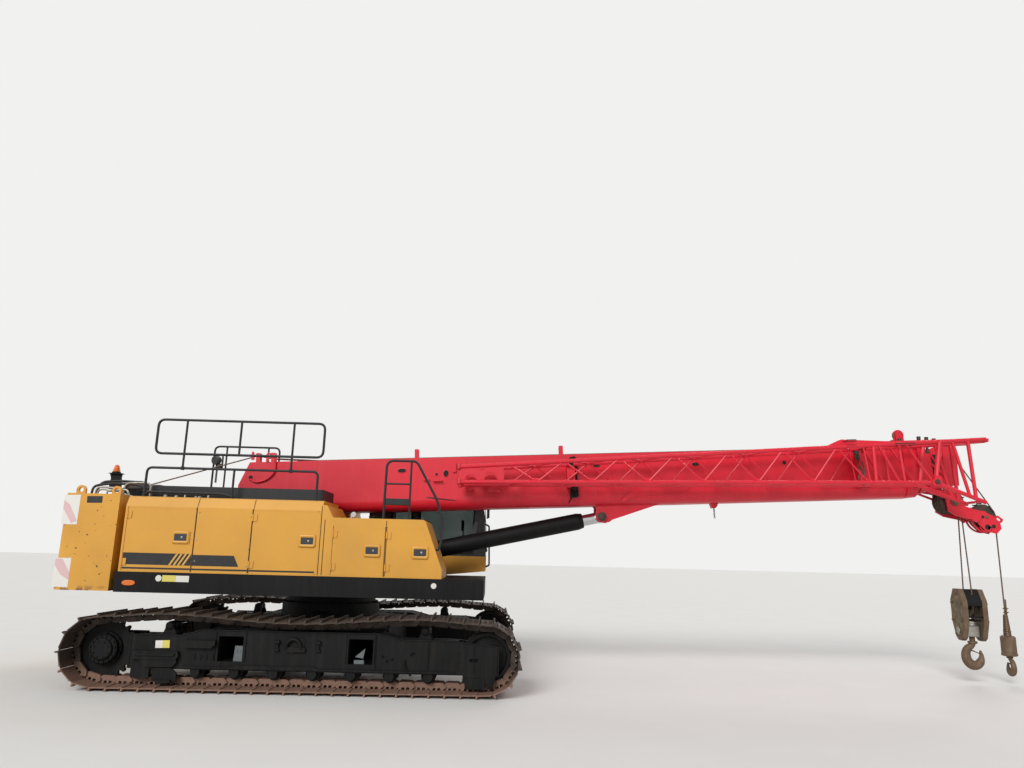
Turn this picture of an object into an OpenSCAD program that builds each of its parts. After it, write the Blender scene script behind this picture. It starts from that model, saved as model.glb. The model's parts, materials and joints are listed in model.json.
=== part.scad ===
/* [Undercarriage] */
// Distance between the middles of the two tracks, run out for work
gauge = 3600; // [3300:10:3800]
// Travel of each track frame on its two axle beams
gauge_travel = 580; // [300:10:580]
// Width of a track shoe
shoe_w = 760; // [600:10:800]
// Distance between two pins of the track chain
chain_pitch = 190; // [170:1:216]
// Radius on which the pins turn round sprocket and idler
chain_r = 352; // [330:1:360]
// From the pin line out to the tip of a shoe's bar
shoe_tip = 95; // [85:1:110]
// Sprocket axis, measured back from the slew axis
sprocket_x = 2360; // [2300:10:2500]
// Idler axis, measured forward from the slew axis
idler_x = 2340; // [2300:10:2500]
// Carrier rollers, before and behind the slew axis
carrier_x = 1570; // [1400:10:1650]
// How far the upper run climbs from the wheels to the carrier rollers
carrier_rise = 46; // [20:1:60]
// Sag of the upper run between the carrier rollers
run_sag = 80; // [40:1:85]
// Number of lower rollers on each side
roller_count = 8; // [6:1:8]
// Spacing of the lower rollers
roller_step = 470; // [420:5:470]
// Width of a track frame
frame_w = 400; // [380:5:440]
// Section of an axle beam, along the crane
beam_w = 350; // [300:5:360]
// Section of an axle beam, upright
beam_h = 343; // [300:1:350]
// Wall of an axle beam
beam_wall = 25; // [15:1:40]

/* [Upper works] */
// Underside of the upper frame above the ground
deck_low = 1100; // [1060:5:1200]
// Top of the upper frame above the ground
deck_top = 1360; // [1330:5:1400]
// Half of the width of the upper works
half_w = 1500; // [1450:5:1550]
// Rear end of the upper frame, behind the slew axis
deck_rear = 2530; // [2500:5:2560]
// Front end of the upper frame, before the slew axis
deck_front = 2270; // [2240:5:2400]
// Rear face of the counterweight, behind the slew axis
tail_x = 3340; // [3300:5:3500]
// Front face of the counterweight, behind the slew axis
weight_front = 2595; // [2580:5:2620]
// Top of the counterweight
weight_top = 2355; // [2300:5:2400]
// Roof of the engine house
house_top = 2340; // [2300:5:2380]
// Roof of the low tank house in front of it
tank_top = 2120; // [2000:5:2200]
// Thickness of the house walls
house_wall = 40; // [30:1:50]
// Thickness of a house door
door_t = 30; // [20:1:35]
// Running gap round a door
door_gap = 6; // [5:1:10]
// Radius of the lifting eyes of the counterweight
eye_r = 32; // [20:1:40]

/* [Cab] */
// Rear wall of the cab, before the slew axis
cab_rear = 400; // [380:5:500]
// Nose of the cab, before the slew axis
cab_nose = 2260; // [2200:5:2300]
// Inner wall of the cab, from the middle of the crane
cab_in = 480; // [470:5:520]
// Outer wall of the cab, from the middle of the crane
cab_out = 1460; // [1400:5:1480]
// Roof of the cab
cab_roof = 2980; // [2900:5:3050]
// Thickness of the cab walls
cab_wall = 45; // [35:1:60]
// Thickness of the window panes
pane_t = 8; // [5:1:12]

/* [Boom] */
// Foot pin behind the slew axis
foot_x = 1200; // [1150:5:1250]
// Foot pin above the ground
foot_z = 2400; // [2380:5:2450]
// Angle of the boom above level, as parked
boom_angle = 3; // [2:0.5:4]
// Length of the outer section, from the foot pin to its mouth
base_len = 10000; // [9500:50:10100]
// Height of the outer section
base_h = 775; // [740:5:790]
// Width of the outer section
base_w = 620; // [600:5:640]
// Underside of the outer section below the foot pin
base_drop = 218; // [200:1:230]
// Wall of the boom sections
boom_wall = 12; // [6:1:16]
// Travel of each inner section
stroke = 7800; // [5000:50:7900]
// Radius of the foot pin
foot_pin_r = 50; // [40:1:55]
// Radius on which the main rope turns at the boom head
head_sheave_r = 168; // [160:1:175]
// Radius on which the auxiliary rope turns at the nose
nose_sheave_r = 190; // [180:1:200]
// Radius of the hoist ropes
rope_r = 10; // [7:0.5:11]

/* [Luffing cylinder] */
// Foot pin of the cylinder before the slew axis
ram_foot_x = 850; // [800:5:900]
// Foot pin of the cylinder above the ground
ram_foot_z = 1600; // [1580:5:1650]
// Outer radius of the barrel
barrel_r = 125; // [115:1:130]
// Inner radius of the barrel
barrel_in = 105; // [95:1:108]
// Radius of the rod
rod_r = 84; // [70:1:88]

/* [Stowed lattice jib] */
// Radius of the four chords
chord_r = 30; // [26:1:36]
// Radius of the lacing tubes
lace_r = 13; // [10:1:17]
// Panels of lacing along the jib
jib_bays = 13; // [11:2:15]

/* [Hidden] */
$fn = 48;

yellow = "#D9A441";
red = "#C8203A";
dark = "#2B2C2E";
steel = "#8A8C8E";
rust = "#7D6255";
glass_tint = "#5E7278";

// Seat left between parts that rest on each other, and the running clearance
seat = 0.3;
run_gap = 5;
far = 20000;

// Track
wheel_z = chain_r + shoe_tip;
plate_in = 34;
plate_out = 58;
link_in = 46;
link_out = 44;
row_near = 30;
row_far = 95;
arc_steps = 12;
run_steps = 24;
roller_first = -1660;
roller_r = 75;
roller_z = shoe_tip + link_in + seat + roller_r;
carrier_r = 60;
skirt_t = 35;
cheek = frame_w / 2 - skirt_t;
frame_top = 630;
frame_hump = 700;
frame_low = 245;
frame_front = 2490;
frame_back = 2010;
beam_low = 320;
beam_rear_x = -785;
beam_front_x = 797;
beam_end = 700;
body_half = 700;
sleeve_half = 1000;
sleeve_wall = 30;
ring_r = 640;

// Boom sections, each with its half width, underside, top and mouth, above the foot pin
base_low = -base_drop;
base_top = base_h - base_drop;
mid_step = 55;
tip_step = 110;
mid_mouth = base_len + 150;
tip_mouth = base_len + 330;
mid_tail = 350;
tip_tail = 480;
tower_y = 400;
tower_t = 40;
boss_t = 14;

// Ram, from its foot pin to the pin on the boom
ram_pin_bx = 5187;
ram_pin_bz = -382;
function boom_x(bx, bz) = bx * cos(boom_angle) - bz * sin(boom_angle) - foot_x;
function boom_z(bx, bz) = bx * sin(boom_angle) + bz * cos(boom_angle) + foot_z;
ram_dx = boom_x(ram_pin_bx, ram_pin_bz) - ram_foot_x;
ram_dz = boom_z(ram_pin_bx, ram_pin_bz) - ram_foot_z;
ram_len = norm([ram_dx, ram_dz]);
ram_tilt = atan2(ram_dz, ram_dx);
rod_show = 276.6;
barrel_len = ram_len - rod_show;
gland_len = 50;
barrel_back = 120;
piston_at = 234;
piston_t = 40;
eye_half = barrel_r + 5;

// Sheaves at the boom head and the nose, in the boom's own measure
head_bx = tip_mouth + 290;
head_bz = -300;
nose_bx = tip_mouth + 800;
nose_bz = -545;
head_x = boom_x(head_bx, head_bz);
head_z = boom_z(head_bx, head_bz);
nose_x = boom_x(nose_bx, nose_bz);
nose_z = boom_z(nose_bx, nose_bz);
block_z = 1130;
block_yaw = -62;
block_sheave_r = 170;
nose_reach = 270;
rope_gap = 0.5;
block_x = head_x + head_sheave_r + rope_gap;
aux_x = nose_x + nose_sheave_r + rope_gap;

// The origin is at the middle of the crane's box, so the slew axis lies behind it
nose_tip_x = boom_x(nose_bx + nose_reach, nose_bz);
slew_x = -(nose_tip_x - tail_x) / 2;
aux_top = 690;

// Moves from the slew axis to the crane's origin
module on_slew() translate([slew_x, 0, 0]) children();

// Puts the boom's own measure, from its foot pin, on the crane
module on_boom() on_slew() translate([-foot_x, 0, foot_z]) rotate([0, -boom_angle, 0]) children();

// Extrudes a side view, drawn in X and Z, from y0 to y1
module side_view(y0, y1) translate([0, y1, 0]) rotate([90, 0, 0]) linear_extrude(y1 - y0) children();

// Extrudes a front view, drawn in Y and Z, from x0 to x1
module front_view(x0, x1) translate([x0, 0, 0]) rotate([90, 0, 90]) linear_extrude(x1 - x0) children();

// A box from its two corners
module box(low, high) translate(low) cube(high - low);

// A round bar across the crane
module cross_bar(x, z, r, y0, y1) translate([x, y1, z]) rotate([90, 0, 0]) cylinder(r = r, h = y1 - y0);

// A body turned about a line across the crane, from rows of radius and place
module turned(x, z, rows) translate([x, 0, z]) rotate([-90, 0, 0]) rotate_extrude() polygon(rows);

// A tube from a to b
module strut(a, b, r, sides = 8, turn = 0) {
  d = b - a;
  translate(a) rotate([0, acos(d.z / norm(d)), atan2(d.y, d.x)]) rotate([0, 0, turn]) cylinder(r = r, h = norm(d), $fn = sides);
}

function unit2(v) = v / norm(v);
function turn_of(a, b) = a.x * b.y - a.y * b.x;
function bend_in(p, i, bend) = (i == 0 || i == len(p) - 1) ? 0
  : bend * tan(acos(unit2(p[i] - p[i - 1]) * unit2(p[i + 1] - p[i])) / 2);

// A bent tube in a side view: straights and round bends through the points
module bent_tube(p, y, r, bend) translate([0, y, 0]) rotate([90, 0, 0]) {
  for (i = [0:len(p) - 2]) {
    a = unit2(p[i + 1] - p[i]);
    start = bend_in(p, i, bend);
    long = norm(p[i + 1] - p[i]) - start - bend_in(p, i + 1, bend);
    at = p[i] + a * start;
    translate([at.x, at.y, 0]) rotate([0, 0, atan2(a.y, a.x)]) rotate([0, 90, 0]) cylinder(r = r, h = long);
  }
  if (len(p) > 2) for (i = [1:len(p) - 2]) {
    a = unit2(p[i] - p[i - 1]);
    b = unit2(p[i + 1] - p[i]);
    s = sign(turn_of(a, b));
    sweep = acos(a * b);
    hub = p[i] - a * bend_in(p, i, bend) + s * bend * [-a.y, a.x];
    begin = atan2(-s * a.x, s * a.y);
    translate([hub.x, hub.y, 0]) rotate([0, 0, s > 0 ? begin : begin - sweep])
      rotate_extrude(angle = sweep) translate([bend, 0]) circle(r = r);
  }
}

// A welded tube in a side view, with a ball at each knuckle
module knuckled_tube(p, y, r) {
  for (i = [0:len(p) - 2]) strut([p[i].x, y, p[i].y], [p[i + 1].x, y, p[i + 1].y], r, 24);
  for (i = [1:len(p) - 2]) translate([p[i].x, y, p[i].y]) sphere(r = r + 0.5);
}

// One side's pieces, drawn with +Y outward and moved to the track's middle
module on_track(side) on_slew() translate([0, side * gauge / 2, 0]) mirror([0, side < 0 ? 1 : 0, 0]) children();

// The line of the pins round the track: along the ground, round the idler, over the carriers, round the sprocket
function ease(t) = (1 - cos(180 * t)) / 2;
run_z = wheel_z + chain_r;
pin_line = concat(
  [[-sprocket_x, shoe_tip]],
  [for (i = [0:arc_steps]) [idler_x + chain_r * sin(180 * i / arc_steps), wheel_z - chain_r * cos(180 * i / arc_steps)]],
  [for (i = [1:arc_steps]) let (t = i / arc_steps)
    [idler_x + (carrier_x - idler_x) * t, run_z + carrier_rise * ease(t)]],
  [for (i = [1:run_steps]) let (t = i / run_steps)
    [carrier_x * (1 - 2 * t), run_z + carrier_rise - run_sag * ease(1 - abs(1 - 2 * t))]],
  [for (i = [1:arc_steps]) let (t = i / arc_steps)
    [-carrier_x - (sprocket_x - carrier_x) * t, run_z + carrier_rise * ease(1 - t)]],
  [for (i = [1:arc_steps]) [-sprocket_x - chain_r * sin(180 * i / arc_steps), wheel_z + chain_r * cos(180 * i / arc_steps)]]);
pin_way = [for (i = 0, s = 0; i < len(pin_line);
  s = s + (i + 1 < len(pin_line) ? norm(pin_line[i + 1] - pin_line[i]) : 0), i = i + 1) s];
way_x = [for (i = [0:len(pin_line) - 1]) [pin_way[i], pin_line[i].x]];
way_z = [for (i = [0:len(pin_line) - 1]) [pin_way[i], pin_line[i].y]];
loop_len = pin_way[len(pin_way) - 1];
shoe_count = round(loop_len / chain_pitch);
pins = [for (k = [0:shoe_count - 1]) let (s = loop_len * k / shoe_count) [lookup(s, way_x), lookup(s, way_z)]];

// Wheels that carry the links: the largest that clears the middle of every link by the seat
idler_r = min([for (k = [0:shoe_count - 1]) if (pins[k].x > idler_x)
  norm((pins[k] + pins[(k + 1) % shoe_count]) / 2 - [idler_x, wheel_z])]) - link_in - seat;

// Height of the carrier rollers, under the lowest link that passes over them
carrier_z = min([for (k = [0:shoe_count - 1]) let (m = (pins[k] + pins[(k + 1) % shoe_count]) / 2)
  if (m.y > wheel_z + 100 && abs(abs(m.x) - carrier_x) < chain_pitch) m.y]) - link_in - seat - carrier_r;

// Places a list of [along, outward] points on shoe k, along in shares of a pitch
function on_shoe(k, pts) = let (a = pins[k], b = pins[(k + 1) % shoe_count], u = unit2(b - a), n = [u.y, -u.x])
  [for (q = pts) (a + b) / 2 + u * q[0] * norm(b - a) + n * q[1]];
function around(pts) = [for (k = [0:shoe_count - 1]) each on_shoe(k, pts)];
function flat_run(k) = pins[k].y < shoe_tip + 1 && pins[(k + 1) % shoe_count].y < shoe_tip + 1
  && pins[(k + shoe_count - 1) % shoe_count].y < shoe_tip + 1;
function pin_ring(out) = [for (k = [0:shoe_count - 1]) if (!flat_run(k))
  let (a = pins[(k + shoe_count - 1) % shoe_count], b = pins[(k + 1) % shoe_count], u = unit2(b - a))
  pins[k] + out * [u.y, -u.x]];

// One track: shoes with a bar along one edge, on two rows of links
module track(side) color(rust) on_track(side) {
  side_view(-shoe_w / 2, shoe_w / 2) difference() {
    polygon(around([[-0.47, plate_out], [-0.47, shoe_tip], [-0.37, shoe_tip], [-0.33, plate_out],
      [0.47, plate_out], [0.5, link_out + 4]]));
    polygon(pin_ring(plate_in));
  }
  for (row = [[-row_far, -row_near], [row_near, row_far]])
    side_view(row[0], row[1]) difference() {
      polygon(pin_ring(link_out));
      polygon(around([[0, -link_in], [0.5, -link_in + 12]]));
    }
}
module track_right() track(-1);
module track_left() track(1);

// Track frame: a box with sockets for the axle beams, a channel for the rollers and forks for the wheels
motor_r = 150;
hub_r = 175;
collar_r = 56;
idler_gap = 25;
module track_frame(side) color(dark) on_track(side) difference() {
  union() {
    side_view(-frame_w / 2, frame_w / 2) polygon([[-frame_back, frame_low], [-frame_back, frame_top],
      [-1390, frame_top], [-1140, frame_hump], [1020, frame_hump], [1300, frame_top + 3], [1930, frame_top + 3],
      [frame_front, 570], [frame_front, frame_low]]);
    for (x = [beam_rear_x, beam_front_x])
      box([x - beam_w / 2, -(gauge / 2 - beam_end), beam_low], [x + beam_w / 2, 0, beam_low + beam_h]);
    for (x = [-carrier_x, carrier_x], y = [-135, 115])
      side_view(y, y + 20) polygon([[x - 70, frame_top - 10], [x - 45, carrier_z + 40], [x + 45, carrier_z + 40],
        [x + 70, frame_top - 10]]);
    side_view(-frame_w / 2, -cheek) {
      translate([-sprocket_x, wheel_z]) circle(r = 230);
      translate([-sprocket_x, wheel_z - 200]) square([sprocket_x - frame_back + 60, 400]);
    }
    cross_bar(-sprocket_x, wheel_z, 110, -frame_w / 2 - 130, -frame_w / 2 + 5);
    for (y = [-frame_w / 2, cheek]) {
      for (i = [0:roller_count - 1]) let (x = roller_first + i * roller_step) {
        cross_bar(x, roller_z, collar_r, y, y + skirt_t);
        box([x - 40, y, roller_z], [x + 40, y + skirt_t, frame_low + 10]);
      }
      side_view(y, y + skirt_t) {
        polygon([[-1960, 150], [-1900, 125], [-1760, 125], [-1740, 150], [-1740, frame_low + 10], [-1960, frame_low + 10]]);
        polygon([[2050, 175], [2090, 150], [2410, 150], [2450, 175], [2450, frame_low + 10], [2050, frame_low + 10]]);
      }
    }
    side_view(frame_w / 2 - 5, frame_w / 2 + 60) {
      polygon([[-1950, 360], [-1420, 360], [-1380, 400], [-1400, 455], [-1950, 455]]);
      polygon([[-1330, 500], [-1010, 500], [-960, 540], [-960, 590], [-1330, 590]]);
    }
    side_view(frame_w / 2 - 5, frame_w / 2 + 30)
      polygon([[-1330, 262], [1950, 262], [1950, 282], [300, 282], [240, 305], [-640, 305], [-820, 282], [-1330, 282]]);
    cross_bar(-30, 500, 45, 0, frame_w / 2 + 20);
  }
  for (x = [beam_rear_x, beam_front_x])
    box([x - beam_w / 2 + beam_wall, -far / 2, beam_low + beam_wall],
      [x + beam_w / 2 - beam_wall, far / 2, beam_low + beam_h - beam_wall]);
  box([roller_first - 150, -cheek, 0], [1960, cheek, 312]);
  box([-frame_back - 10, -cheek, 0], [-1960, cheek, 900]);
  box([idler_x - idler_r - 60, -140, 0], [frame_front + 10, 140, 900]);
  box([2130, cheek - 10, 400], [2230, frame_w, 440]);
}
module track_frame_right() track_frame(-1);
module track_frame_left() track_frame(1);

// Toothed ring with the final drive's case on both sides
teeth = 23;
tooth_tip = 362;
tooth_root = 316;
module sprocket(side) color(dark) on_track(side) {
  translate([-sprocket_x, 25, wheel_z]) rotate([90, 0, 0]) linear_extrude(50)
    polygon([for (k = [0:teeth - 1], q = [[-0.36, tooth_root], [-0.14, tooth_tip], [0.14, tooth_tip], [0.36, tooth_root]])
      q[1] * [cos((k + q[0]) * 360 / teeth), sin((k + q[0]) * 360 / teeth)]]);
  turned(-sprocket_x, wheel_z, [[0, -cheek + seat], [motor_r, -cheek + seat], [motor_r, -24], [hub_r + 25, -24],
    [hub_r + 25, 60], [hub_r, 60], [hub_r, 125], [hub_r - 12, 135], [125, 135], [125, 165], [110, 175], [0, 175]]);
}
module sprocket_right() sprocket(-1);
module sprocket_left() sprocket(1);

// Idler wheel with a middle flange between the rows of links
module idler(side) color(dark) on_track(side)
  turned(idler_x, wheel_z, [[0, -140 + seat], [75, -140 + seat], [75, -60], [240, -35], [250, -row_far], [idler_r, -row_far],
    [idler_r, -idler_gap], [idler_r + 22, -idler_gap + 5], [idler_r + 22, idler_gap - 5], [idler_r, idler_gap],
    [idler_r, row_far], [250, row_far], [240, 35], [75, 60], [75, 140 - seat], [0, 140 - seat]]);
module idler_right() idler(-1);
module idler_left() idler(1);

// Lower rollers between the skirts and carrier rollers on their brackets
module rollers(side) color(dark) on_track(side) {
  for (i = [0:roller_count - 1])
    turned(roller_first + i * roller_step, roller_z, [[0, -cheek + seat], [45, -cheek + seat], [45, -112], [90, -112],
      [90, -98], [roller_r, -98], [roller_r, -25], [60, -25], [60, 25], [roller_r, 25], [roller_r, 98], [90, 98], [90, 112],
      [45, 112], [45, cheek - seat], [0, cheek - seat]]);
  for (x = [-carrier_x, carrier_x])
    turned(x, carrier_z, [[0, -115 + seat], [40, -115 + seat], [40, -100], [carrier_r, -100], [carrier_r, -25], [45, -25],
      [45, 25], [carrier_r, 25], [carrier_r, 100], [40, 100], [40, 115 - seat], [0, 115 - seat]]);
}
module rollers_right() rollers(-1);
module rollers_left() rollers(1);

// Body between the tracks: two sleeves for the axle beams, a box and the seat of the slewing ring
module carbody() color(dark) on_slew() difference() {
  union() {
    for (x = [beam_rear_x, beam_front_x])
      box([x - beam_w / 2 - sleeve_wall - run_gap, -sleeve_half, beam_low - sleeve_wall],
        [x + beam_w / 2 + sleeve_wall + run_gap, sleeve_half, beam_low + beam_h + sleeve_wall]);
    body_box();
    translate([0, 0, 700]) cylinder(r = ring_r + 60, h = 260, $fn = 96);
    translate([0, 0, 900]) cylinder(r = ring_r, h = deck_low - seat - 900, $fn = 96);
  }
  for (x = [beam_rear_x, beam_front_x])
    box([x - beam_w / 2 - run_gap, -far / 2, beam_low - 0.5], [x + beam_w / 2 + run_gap, far / 2, beam_low + beam_h + 0.5]);
}
module body_box() translate([0, 0, 400]) linear_extrude(360)
  polygon([[beam_rear_x - 180, -560], [beam_rear_x + 120, -body_half], [beam_front_x - 120, -body_half],
    [beam_front_x + 180, -560], [beam_front_x + 180, 560], [beam_front_x - 120, body_half],
    [beam_rear_x + 120, body_half], [beam_rear_x - 180, 560]]);

// Upper frame: deck with edge girders, two tall side plates that carry winches and boom, and the ram's foot
winch_front_x = -2230;
winch_front_z = 2040;
winch_rear_x = -2900;
winch_rear_z = 2330;
module upper_frame() color(dark) on_slew() difference() {
  union() {
    difference() {
      box([-deck_rear, -half_w, deck_low], [deck_front, half_w, deck_top]);
      for (y = [-half_w + 60, 500]) box([-deck_rear + 60, y, deck_low - 1], [deck_front - 60, y + half_w - 560, deck_top - 30]);
      box([-deck_rear + 60, -430, deck_low + 40], [-760, 430, deck_top - 30]);
      box([760, -430, deck_low + 40], [deck_front - 60, 430, deck_top - 30]);
      box([1600, cab_in - 20, deck_low - 1], [far, far, deck_top + 1]);
    }
    for (y = [-tower_y - tower_t, tower_y]) side_view(y, y + tower_t) difference() {
      polygon([[-deck_rear, deck_top - 10], [-deck_rear, 1900], [-3090, 2180], [-3090, 2400], [-2990, 2450], [-2780, 2450],
        [-2500, 2250], [-1900, 2200], [-1420, 2480], [-1290, 2550], [-1110, 2550], [-990, 2480], [-560, 1980],
        [300, 1700], [1200, 1560], [1500, deck_top - 10]]);
      translate([-1500, 1700]) circle(r = 150);
      translate([-500, 1640]) circle(r = 130);
    }
    for (y = [-1100, 700]) box([-weight_front + seat, y, deck_low + 40], [-deck_rear + 1, y + 400, deck_top - 20]);
    cross_bar(-foot_x, foot_z, foot_pin_r - 0.1, -tower_y - tower_t - boss_t, tower_y + tower_t + boss_t);
    for (y = [-tower_y - tower_t - boss_t, tower_y + tower_t - 1]) cross_bar(-foot_x, foot_z, 85, y, y + boss_t + 1);
    for (y = [-eye_half - run_gap - 50, eye_half + run_gap]) side_view(y, y + 50)
      polygon([[ram_foot_x - 260, deck_top - 10], [ram_foot_x - 110, ram_foot_z + 60], [ram_foot_x - 60, ram_foot_z + 110],
        [ram_foot_x + 60, ram_foot_z + 110], [ram_foot_x + 110, ram_foot_z + 60], [ram_foot_x + 260, deck_top - 10]]);
    cross_bar(ram_foot_x, ram_foot_z, 44.9, -eye_half - run_gap - 60, eye_half + run_gap + 60);
  }
}

// Counterweight: a cast block with rounded rear corners, a pocket for the rear winch and lifting eyes
eye_y = 1330;
module counterweight() color(yellow) on_slew() difference() {
  union() {
    translate([0, 0, deck_low + 10]) linear_extrude(weight_top - deck_low - 10) union() {
      translate([-tail_x + 120, -half_w]) square([tail_x - 120 - weight_front, 2 * half_w]);
      translate([-tail_x, -half_w + 120]) square([400, 2 * half_w - 240]);
      for (y = [-half_w + 120, half_w - 120]) translate([-tail_x + 120, y]) circle(r = 120);
    }
    for (x = [-tail_x + 140, -weight_front - 130], y = [-eye_y, eye_y]) side_view(y - 20, y + 20) {
      translate([x, weight_top + 55]) circle(r = 62);
      translate([x - 62, weight_top - 5]) square([124, 60]);
    }
  }
  for (x = [-tail_x + 140, -weight_front - 130], y = [-eye_y, eye_y])
    cross_bar(x, weight_top + 55, eye_r, y - 30, y + 30);
  box([winch_rear_x - 315, -tower_y - 70, winch_rear_z - 450], [-weight_front + 10, tower_y + 70, weight_top + 45]);
}

// Engine as one block, standing on the deck of the right house
module engine() color(steel) on_slew() box([-2350, -1300, deck_top], [-1150, -700, 2080]);

// Section of a house: the outer wall leans in below the roof
house_rear = -2500;
house_mid = 90;
house_in = 460;
lean_h = 135;
lean_in = 60;
module house_section(low, high, top, in) polygon([[low, deck_top - (in > 0 ? 1 : 0)], [low, top - lean_h + in * 0.7],
  [low + lean_in, top - 12 + in * 0.7], [low + lean_in + 25, top], [high, top], [high, deck_top - (in > 0 ? 1 : 0)]]);
// Doors: rear edge, front edge, the height at which that leans back, and the front edge at the top
door_low = deck_top + 20;
door_top = house_top - lean_h - 10;
rear_door = [-2470, -1565, 0, -1565];
mid_door = [-820, 60, 0, 60];
tank_rear_door = [250, 945, 0, 945];
tank_front_door = [960, 1640, 1479, 1437];
tank_door_top = 2010;
module door_outline(d, top, in) polygon(concat([[d[0] + in, door_low + in], [d[1] - in, door_low + in]],
  d[2] > 0 ? [[d[1] - in, d[2]]] : [], [[d[3] - in, top - in], [d[0] + in, top - in]]));
module house(doors) {
  difference() {
    front_view(house_rear, house_mid) house_section(-half_w, -house_in, house_top, 0);
    front_view(house_rear + house_wall, house_mid - house_wall)
      house_section(-half_w + house_wall, -house_in - house_wall, house_top - house_wall, house_wall / 2);
    for (d = doors) side_view(-half_w - 1, -half_w + house_wall + 1) door_outline(d, door_top, 0);
  }
}
module house_right() color(yellow) on_slew() house([rear_door, mid_door]);
module house_left() color(yellow) on_slew() mirror([0, 1, 0]) house([rear_door, mid_door]);
module tank_house() color(yellow) on_slew() difference() {
  side_view(-half_w, -house_in) tank_side(0);
  side_view(-half_w + house_wall, -house_in - house_wall) tank_side(house_wall);
  for (d = [tank_rear_door, tank_front_door]) side_view(-half_w - 1, -half_w + house_wall + 1) door_outline(d, tank_door_top, 0);
}
tank_nose = [1470, 1708];
tank_drop = 24;
tank_knee = 1479;
function tank_face(z) = tank_nose[0] + (tank_nose[1] - tank_nose[0]) * (tank_top - tank_drop - z) / (tank_top - tank_drop - tank_knee);
module tank_side(in) polygon([[house_mid + 2 + in, deck_top - (in > 0 ? 1 : 0)], [house_mid + 2 + in, house_top - 60 - in],
  [house_mid + 60 + in / 2, house_top - 60 - in], [house_mid + 150, tank_top - in], [1440 - in, tank_top - in],
  [tank_nose[0] - in, tank_top - tank_drop - in / 2], [tank_nose[1] - in, tank_knee], [tank_nose[1] - in, deck_top - (in > 0 ? 1 : 0)]]);

// A house door: a flat pressing with a latch, its hinge barrel at the rear edge
hinge_r = 12;
hinge_out = sqrt(pow(hinge_r + seat, 2) - pow(door_gap, 2));
latch_z = 1810;
tank_latch_z = 1695;
module house_door(d, top, latch_at, at_z) {
  difference() {
    side_view(-half_w, -half_w + door_t) door_outline(d, top, door_gap);
    side_view(-half_w + 12, -half_w + door_t + 1) door_outline(d, top, 60);
  }
  box([latch_at - 105, -half_w - 12, at_z - 75], [latch_at + 105, -half_w + 1, at_z + 75]);
  box([latch_at - 75, -half_w - 18, at_z - 39], [latch_at + 75, -half_w, at_z + 39]);
  for (z = [door_low + 60, top - 150]) {
    translate([d[0] + door_gap, -half_w - hinge_out, z]) cylinder(r = hinge_r, h = 90);
    box([d[0] + door_gap, -half_w - hinge_out, z], [d[0] + 60, -half_w + 1, z + 90]);
  }
}
module door_right_rear() color(yellow) on_slew() house_door(rear_door, door_top, -1722, latch_z);
module door_right_mid() color(yellow) on_slew() house_door(mid_door, door_top, -90, latch_z);
module door_tank_rear() color(yellow) on_slew() house_door(tank_rear_door, tank_door_top, 781, tank_latch_z);
module door_tank_front() color(yellow) on_slew() house_door(tank_front_door, tank_door_top, 1412, tank_latch_z);
module door_left_rear() color(yellow) on_slew() mirror([0, 1, 0]) house_door(rear_door, door_top, -1722, latch_z);
module door_left_mid() color(yellow) on_slew() mirror([0, 1, 0]) house_door(mid_door, door_top, -90, latch_z);

// Walkway on the right house roof, with its toe board towards the boom
module roof_walkway() color(dark) on_slew() difference() {
  box([-2300, rail_y + 150, house_top], [30, -house_in - 100, house_top + 160]);
  box([-2270, rail_y + 180, house_top + 30], [0, -house_in - 130, house_top + 161]);
}

// Guard rails on the right roof
rail_r = 17;
rail_y = -(half_w - 100);
rail_top = house_top + 1050;
rail_mid = house_top + 520;
module handrails_right() color(dark) on_slew() {
  bent_tube([[-2330, house_top + seat], [-2330, house_top + 390], [-30, house_top + 390], [-30, house_top + seat]],
    rail_y, rail_r, 70);
  bent_tube([[-700, rail_top], [20, rail_top], [20, rail_mid], [-2250, rail_mid], [-2250, rail_top], [-700, rail_top]],
    rail_y, rail_r, 90);
  for (x = [-1860, -1120, -400]) translate([x, rail_y, house_top + seat])
    cylinder(r = rail_r - 2, h = rail_top - house_top);
}
left_rail = [-2470, -1360];
module handrails_left() color(dark) on_slew() {
  bent_tube([[left_rail[0], house_top + seat], [left_rail[0], rail_top - 20], [left_rail[1], rail_top - 20],
    [left_rail[1], house_top + seat]], -rail_y, rail_r, 90);
  translate([left_rail[0], -rail_y, rail_mid]) rotate([0, 90, 0])
    cylinder(r = rail_r - 2, h = left_rail[1] - left_rail[0]);
  translate([(left_rail[0] + left_rail[1]) / 2, -rail_y, house_top + seat])
    cylinder(r = rail_r - 2, h = rail_top - 20 - house_top);
}

// Hoop over the steps at the tank house
hoop_top = 2910;
hoop_foot = tank_top - 101;
step_top = 2386;
module front_rail() color(dark) on_slew() {
  knuckled_tube([[888, tank_top + 2], [897, hoop_top - 75], [918, hoop_top - 25], [965, hoop_top], [1280, hoop_top],
    [1312, hoop_top - 34], [1600, step_top + 8], [1645, step_top - 150], [1655, tank_top + 10], [1635, tank_top - 50],
    [tank_face(hoop_foot) + 0.5, hoop_foot]], rail_y, rail_r);
  translate([900, rail_y, 2596]) rotate([0, 90, 0]) cylinder(r = rail_r - 4, h = 560);
  translate([1232, rail_y, tank_top + seat]) cylinder(r = rail_r - 3, h = hoop_top - tank_top);
  box([845, rail_y - 45, step_top - 56], [1655, rail_y + 215, step_top]);
}

// Winches: a drum with wound rope between two flanges, on a shaft
module winch(x, z) turned(x, z, [[0, -tower_y + seat], [70, -tower_y + seat], [70, -330], [300, -330], [300, -305], [215, -300],
  [215, 300], [300, 305], [300, 330], [70, 330], [70, tower_y - seat], [0, tower_y - seat]]);
module winch_front() color(rust) on_slew() winch(winch_front_x, winch_front_z);
module winch_rear() color(rust) on_slew() winch(winch_rear_x, winch_rear_z);

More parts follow.
